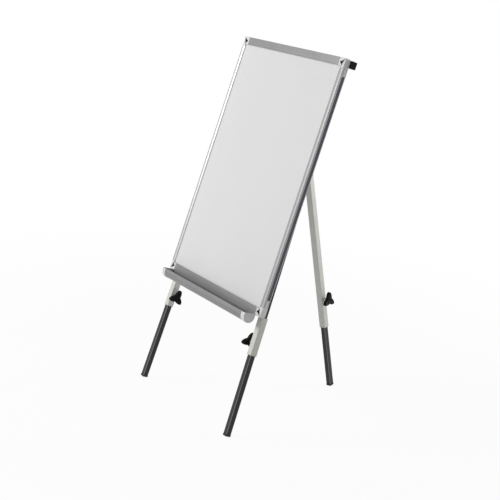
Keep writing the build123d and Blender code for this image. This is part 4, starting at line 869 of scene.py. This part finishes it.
for side in CLAMP_BODIES:
    pivot, axis = clamp_line(side)
    face_height = heights_along(f"clamp_knob_{side}", axis)[1]
    add_piece(
        f"knob_ring_{side}",
        ring_shape(KNOB_RING_RADIUS, KNOB_RING_THICKNESS, KNOB_RING_FLAT),
        place_on(axis, moved_to(pivot, axis, face_height)),
        black_moulded,
        f"knob_{side}",
    )

# %% [markdown]
# ## Ribs round the feet
# A rubber foot has two low ribs just above its sole, so that it can be pulled off a tube with wet
# hands. A rib follows the foot's square section with round corners. The quick way to such a form
# is a square plate whose four corner points are bevelled and whose rim is rounded: the rest of the
# plate is inside the foot, and only the rim stands out.

# %% Shape a rib
RIB_PROUD = 0.0005
RIB_HEIGHT = 0.0012
RIB_ROUND = RIB_PROUD * 0.9
RIB_SEGMENTS = 3
FOOT_WIDTH = 0.0235
FOOT_CORNER = 0.004
CORNER_SEGMENTS = 6


def foot_rib():
    """A thin square plate about Z with round corners, a little wider than a foot."""
    shape = bmesh.new()
    half_width = FOOT_WIDTH / 2 + RIB_PROUD
    bmesh.ops.create_grid(shape, x_segments=1, y_segments=1, size=half_width)
    bmesh.ops.bevel(
        shape,
        geom=shape.verts[:],
        offset=FOOT_CORNER,
        affect="VERTICES",
        segments=CORNER_SEGMENTS,
        profile=0.5,
        material=-1,
    )
    thicken(shape, RIB_HEIGHT)
    round_rims(shape, RIB_ROUND, RIB_SEGMENTS)
    return shape


print("rib", RIB_HEIGHT, "m high, standing out", RIB_PROUD, "m")

# %% Rib the feet
RIB_PLACES = (0.0022, 0.0052)
TREAD_HEIGHT = 0.012
FOOT_OF_LEG = {
    "leg_left": "leg_foot_left",
    "leg_right": "leg_foot_right",
    "rear_extension": "rear_foot",
}

for body, foot_name in FOOT_OF_LEG.items():
    up_leg = -Vector(joint_named[f"{body}_slide"]["axis"]).normalized()
    points = [point.co for point in frame["nodes"][foot_name].data.vertices]
    sole = min(point.dot(up_leg) for point in points)
    tread = [point for point in points if point.dot(up_leg) < sole + TREAD_HEIGHT]
    centre = sum(tread, Vector()) / len(tread)
    side_axis = Vector((1, 0, 0))
    if body == "rear_extension":
        side_axis = Matrix.Rotation(REAR_TURN, 3, up_leg) @ side_axis
    across = moved_to(side_axis, up_leg, 0).normalized()
    for number, height in enumerate(RIB_PLACES, 1):
        seat = moved_to(centre, up_leg, sole + height)
        place = standing(seat, across, up_leg.cross(across), up_leg)
        rib_name = f"{foot_name}_rib_{number}"
        add_piece(rib_name, foot_rib(), place, rubber, body)

# %% [markdown]
# ## Floor, room and lamps
# The photograph has a white background. The floor is a pale plane whose look to the camera fades
# from lit, with the easel's shadow, near the legs, to plain white further out. The room is white
# for the camera and for reflections, and a soft even grey for lighting. A large lamp in front, to
# the left, lights the board's face, and a second behind, to the right, lights the rear leg.


# %% White seen directly, in reflections and through glass
def seen_directly(tree):
    """1 for camera, glossy and transmission rays, and 0 for rays that only carry light."""
    rays = add_node(tree, "ShaderNodeLightPath").outputs
    seen = calculate(tree, "MAXIMUM", rays["Is Camera Ray"], rays["Is Glossy Ray"])
    return calculate(tree, "MAXIMUM", seen, rays["Is Transmission Ray"])


def show_mixed(tree, share, first, second, output_name):
    """Send a mix of two shaders to a tree's output."""
    both = add_node(tree, "ShaderNodeMixShader", {"Fac": share, 1: first, 2: second})
    tree.links.new(both.outputs["Shader"], tree.nodes[output_name].inputs["Surface"])


print("helpers: seen_directly, show_mixed")

# %% Floor
FLOOR_RADIUS = 60.0
FLOOR_POINTS = 96
FLOOR_PALE = (0.86, 0.86, 0.86)
NEAR_WHITE = 0.93
FADE_START = 1.2
FADE_END = 3.0

floor_mesh = bpy.data.meshes.new("floor")
disc = bmesh.new()
bmesh.ops.create_circle(disc, cap_ends=True, radius=FLOOR_RADIUS, segments=FLOOR_POINTS)
disc.to_mesh(floor_mesh)
disc.free()
floor = add_object("floor", floor_mesh)
floor_finish, tree, shader = start_finish("pale_floor", FLOOR_PALE, roughness=0.9)
away = add_node(tree, "ShaderNodeVectorMath", {0: own_place(tree)}, operation="LENGTH")
white_share = spread_values(tree, away.outputs["Value"], NEAR_WHITE, 1, FADE_START, FADE_END)
seen_white = calculate(tree, "MULTIPLY", white_share, seen_directly(tree))
glow = add_node(tree, "ShaderNodeEmission", {"Strength": 1.0})
show_mixed(tree, seen_white, shader.outputs["BSDF"], glow.outputs["Emission"], "Material Output")
floor_mesh.materials.append(floor_finish)
print("floor radius", FLOOR_RADIUS)

# %% Room light
ROOM_LEVEL = 0.3
WHITE = (1, 1, 1, 1)

world = bpy.data.worlds.new("room")
bpy.context.scene.world = world
world.use_nodes = True
tree = world.node_tree
room = tree.nodes["Background"]
room.inputs["Color"].default_value = WHITE
room.inputs["Strength"].default_value = ROOM_LEVEL
plain = add_node(tree, "ShaderNodeBackground", {"Color": WHITE, "Strength": 1.0})
lights = (room.outputs["Background"], plain.outputs["Background"])
show_mixed(tree, seen_directly(tree), *lights, "World Output")
print("room level", ROOM_LEVEL)


# %% Lamps
def soft_lamp(name, place, aim, width, height, power):
    """A large rectangular lamp that points at a spot."""
    light = bpy.data.lights.new(name, "AREA")
    light.shape = "RECTANGLE"
    light.size = width
    light.size_y = height
    light.energy = power
    lamp = add_object(name, light)
    lamp.location = place
    lamp.rotation_euler = (Vector(aim) - Vector(place)).to_track_quat("-Z", "Y").to_euler()
    print("lamp", name, power, "W")


soft_lamp(
    "front_lamp", (-1.9, -4.4, 2.7), aim=(0, -0.1, 0.8), width=2.2, height=1.8, power=170
)
soft_lamp(
    "rear_lamp", (1.0, 4.6, 1.4), aim=(0, 0.1, 0.8), width=1.6, height=1.6, power=130
)
bpy.context.scene.view_settings.view_transform = "Standard"
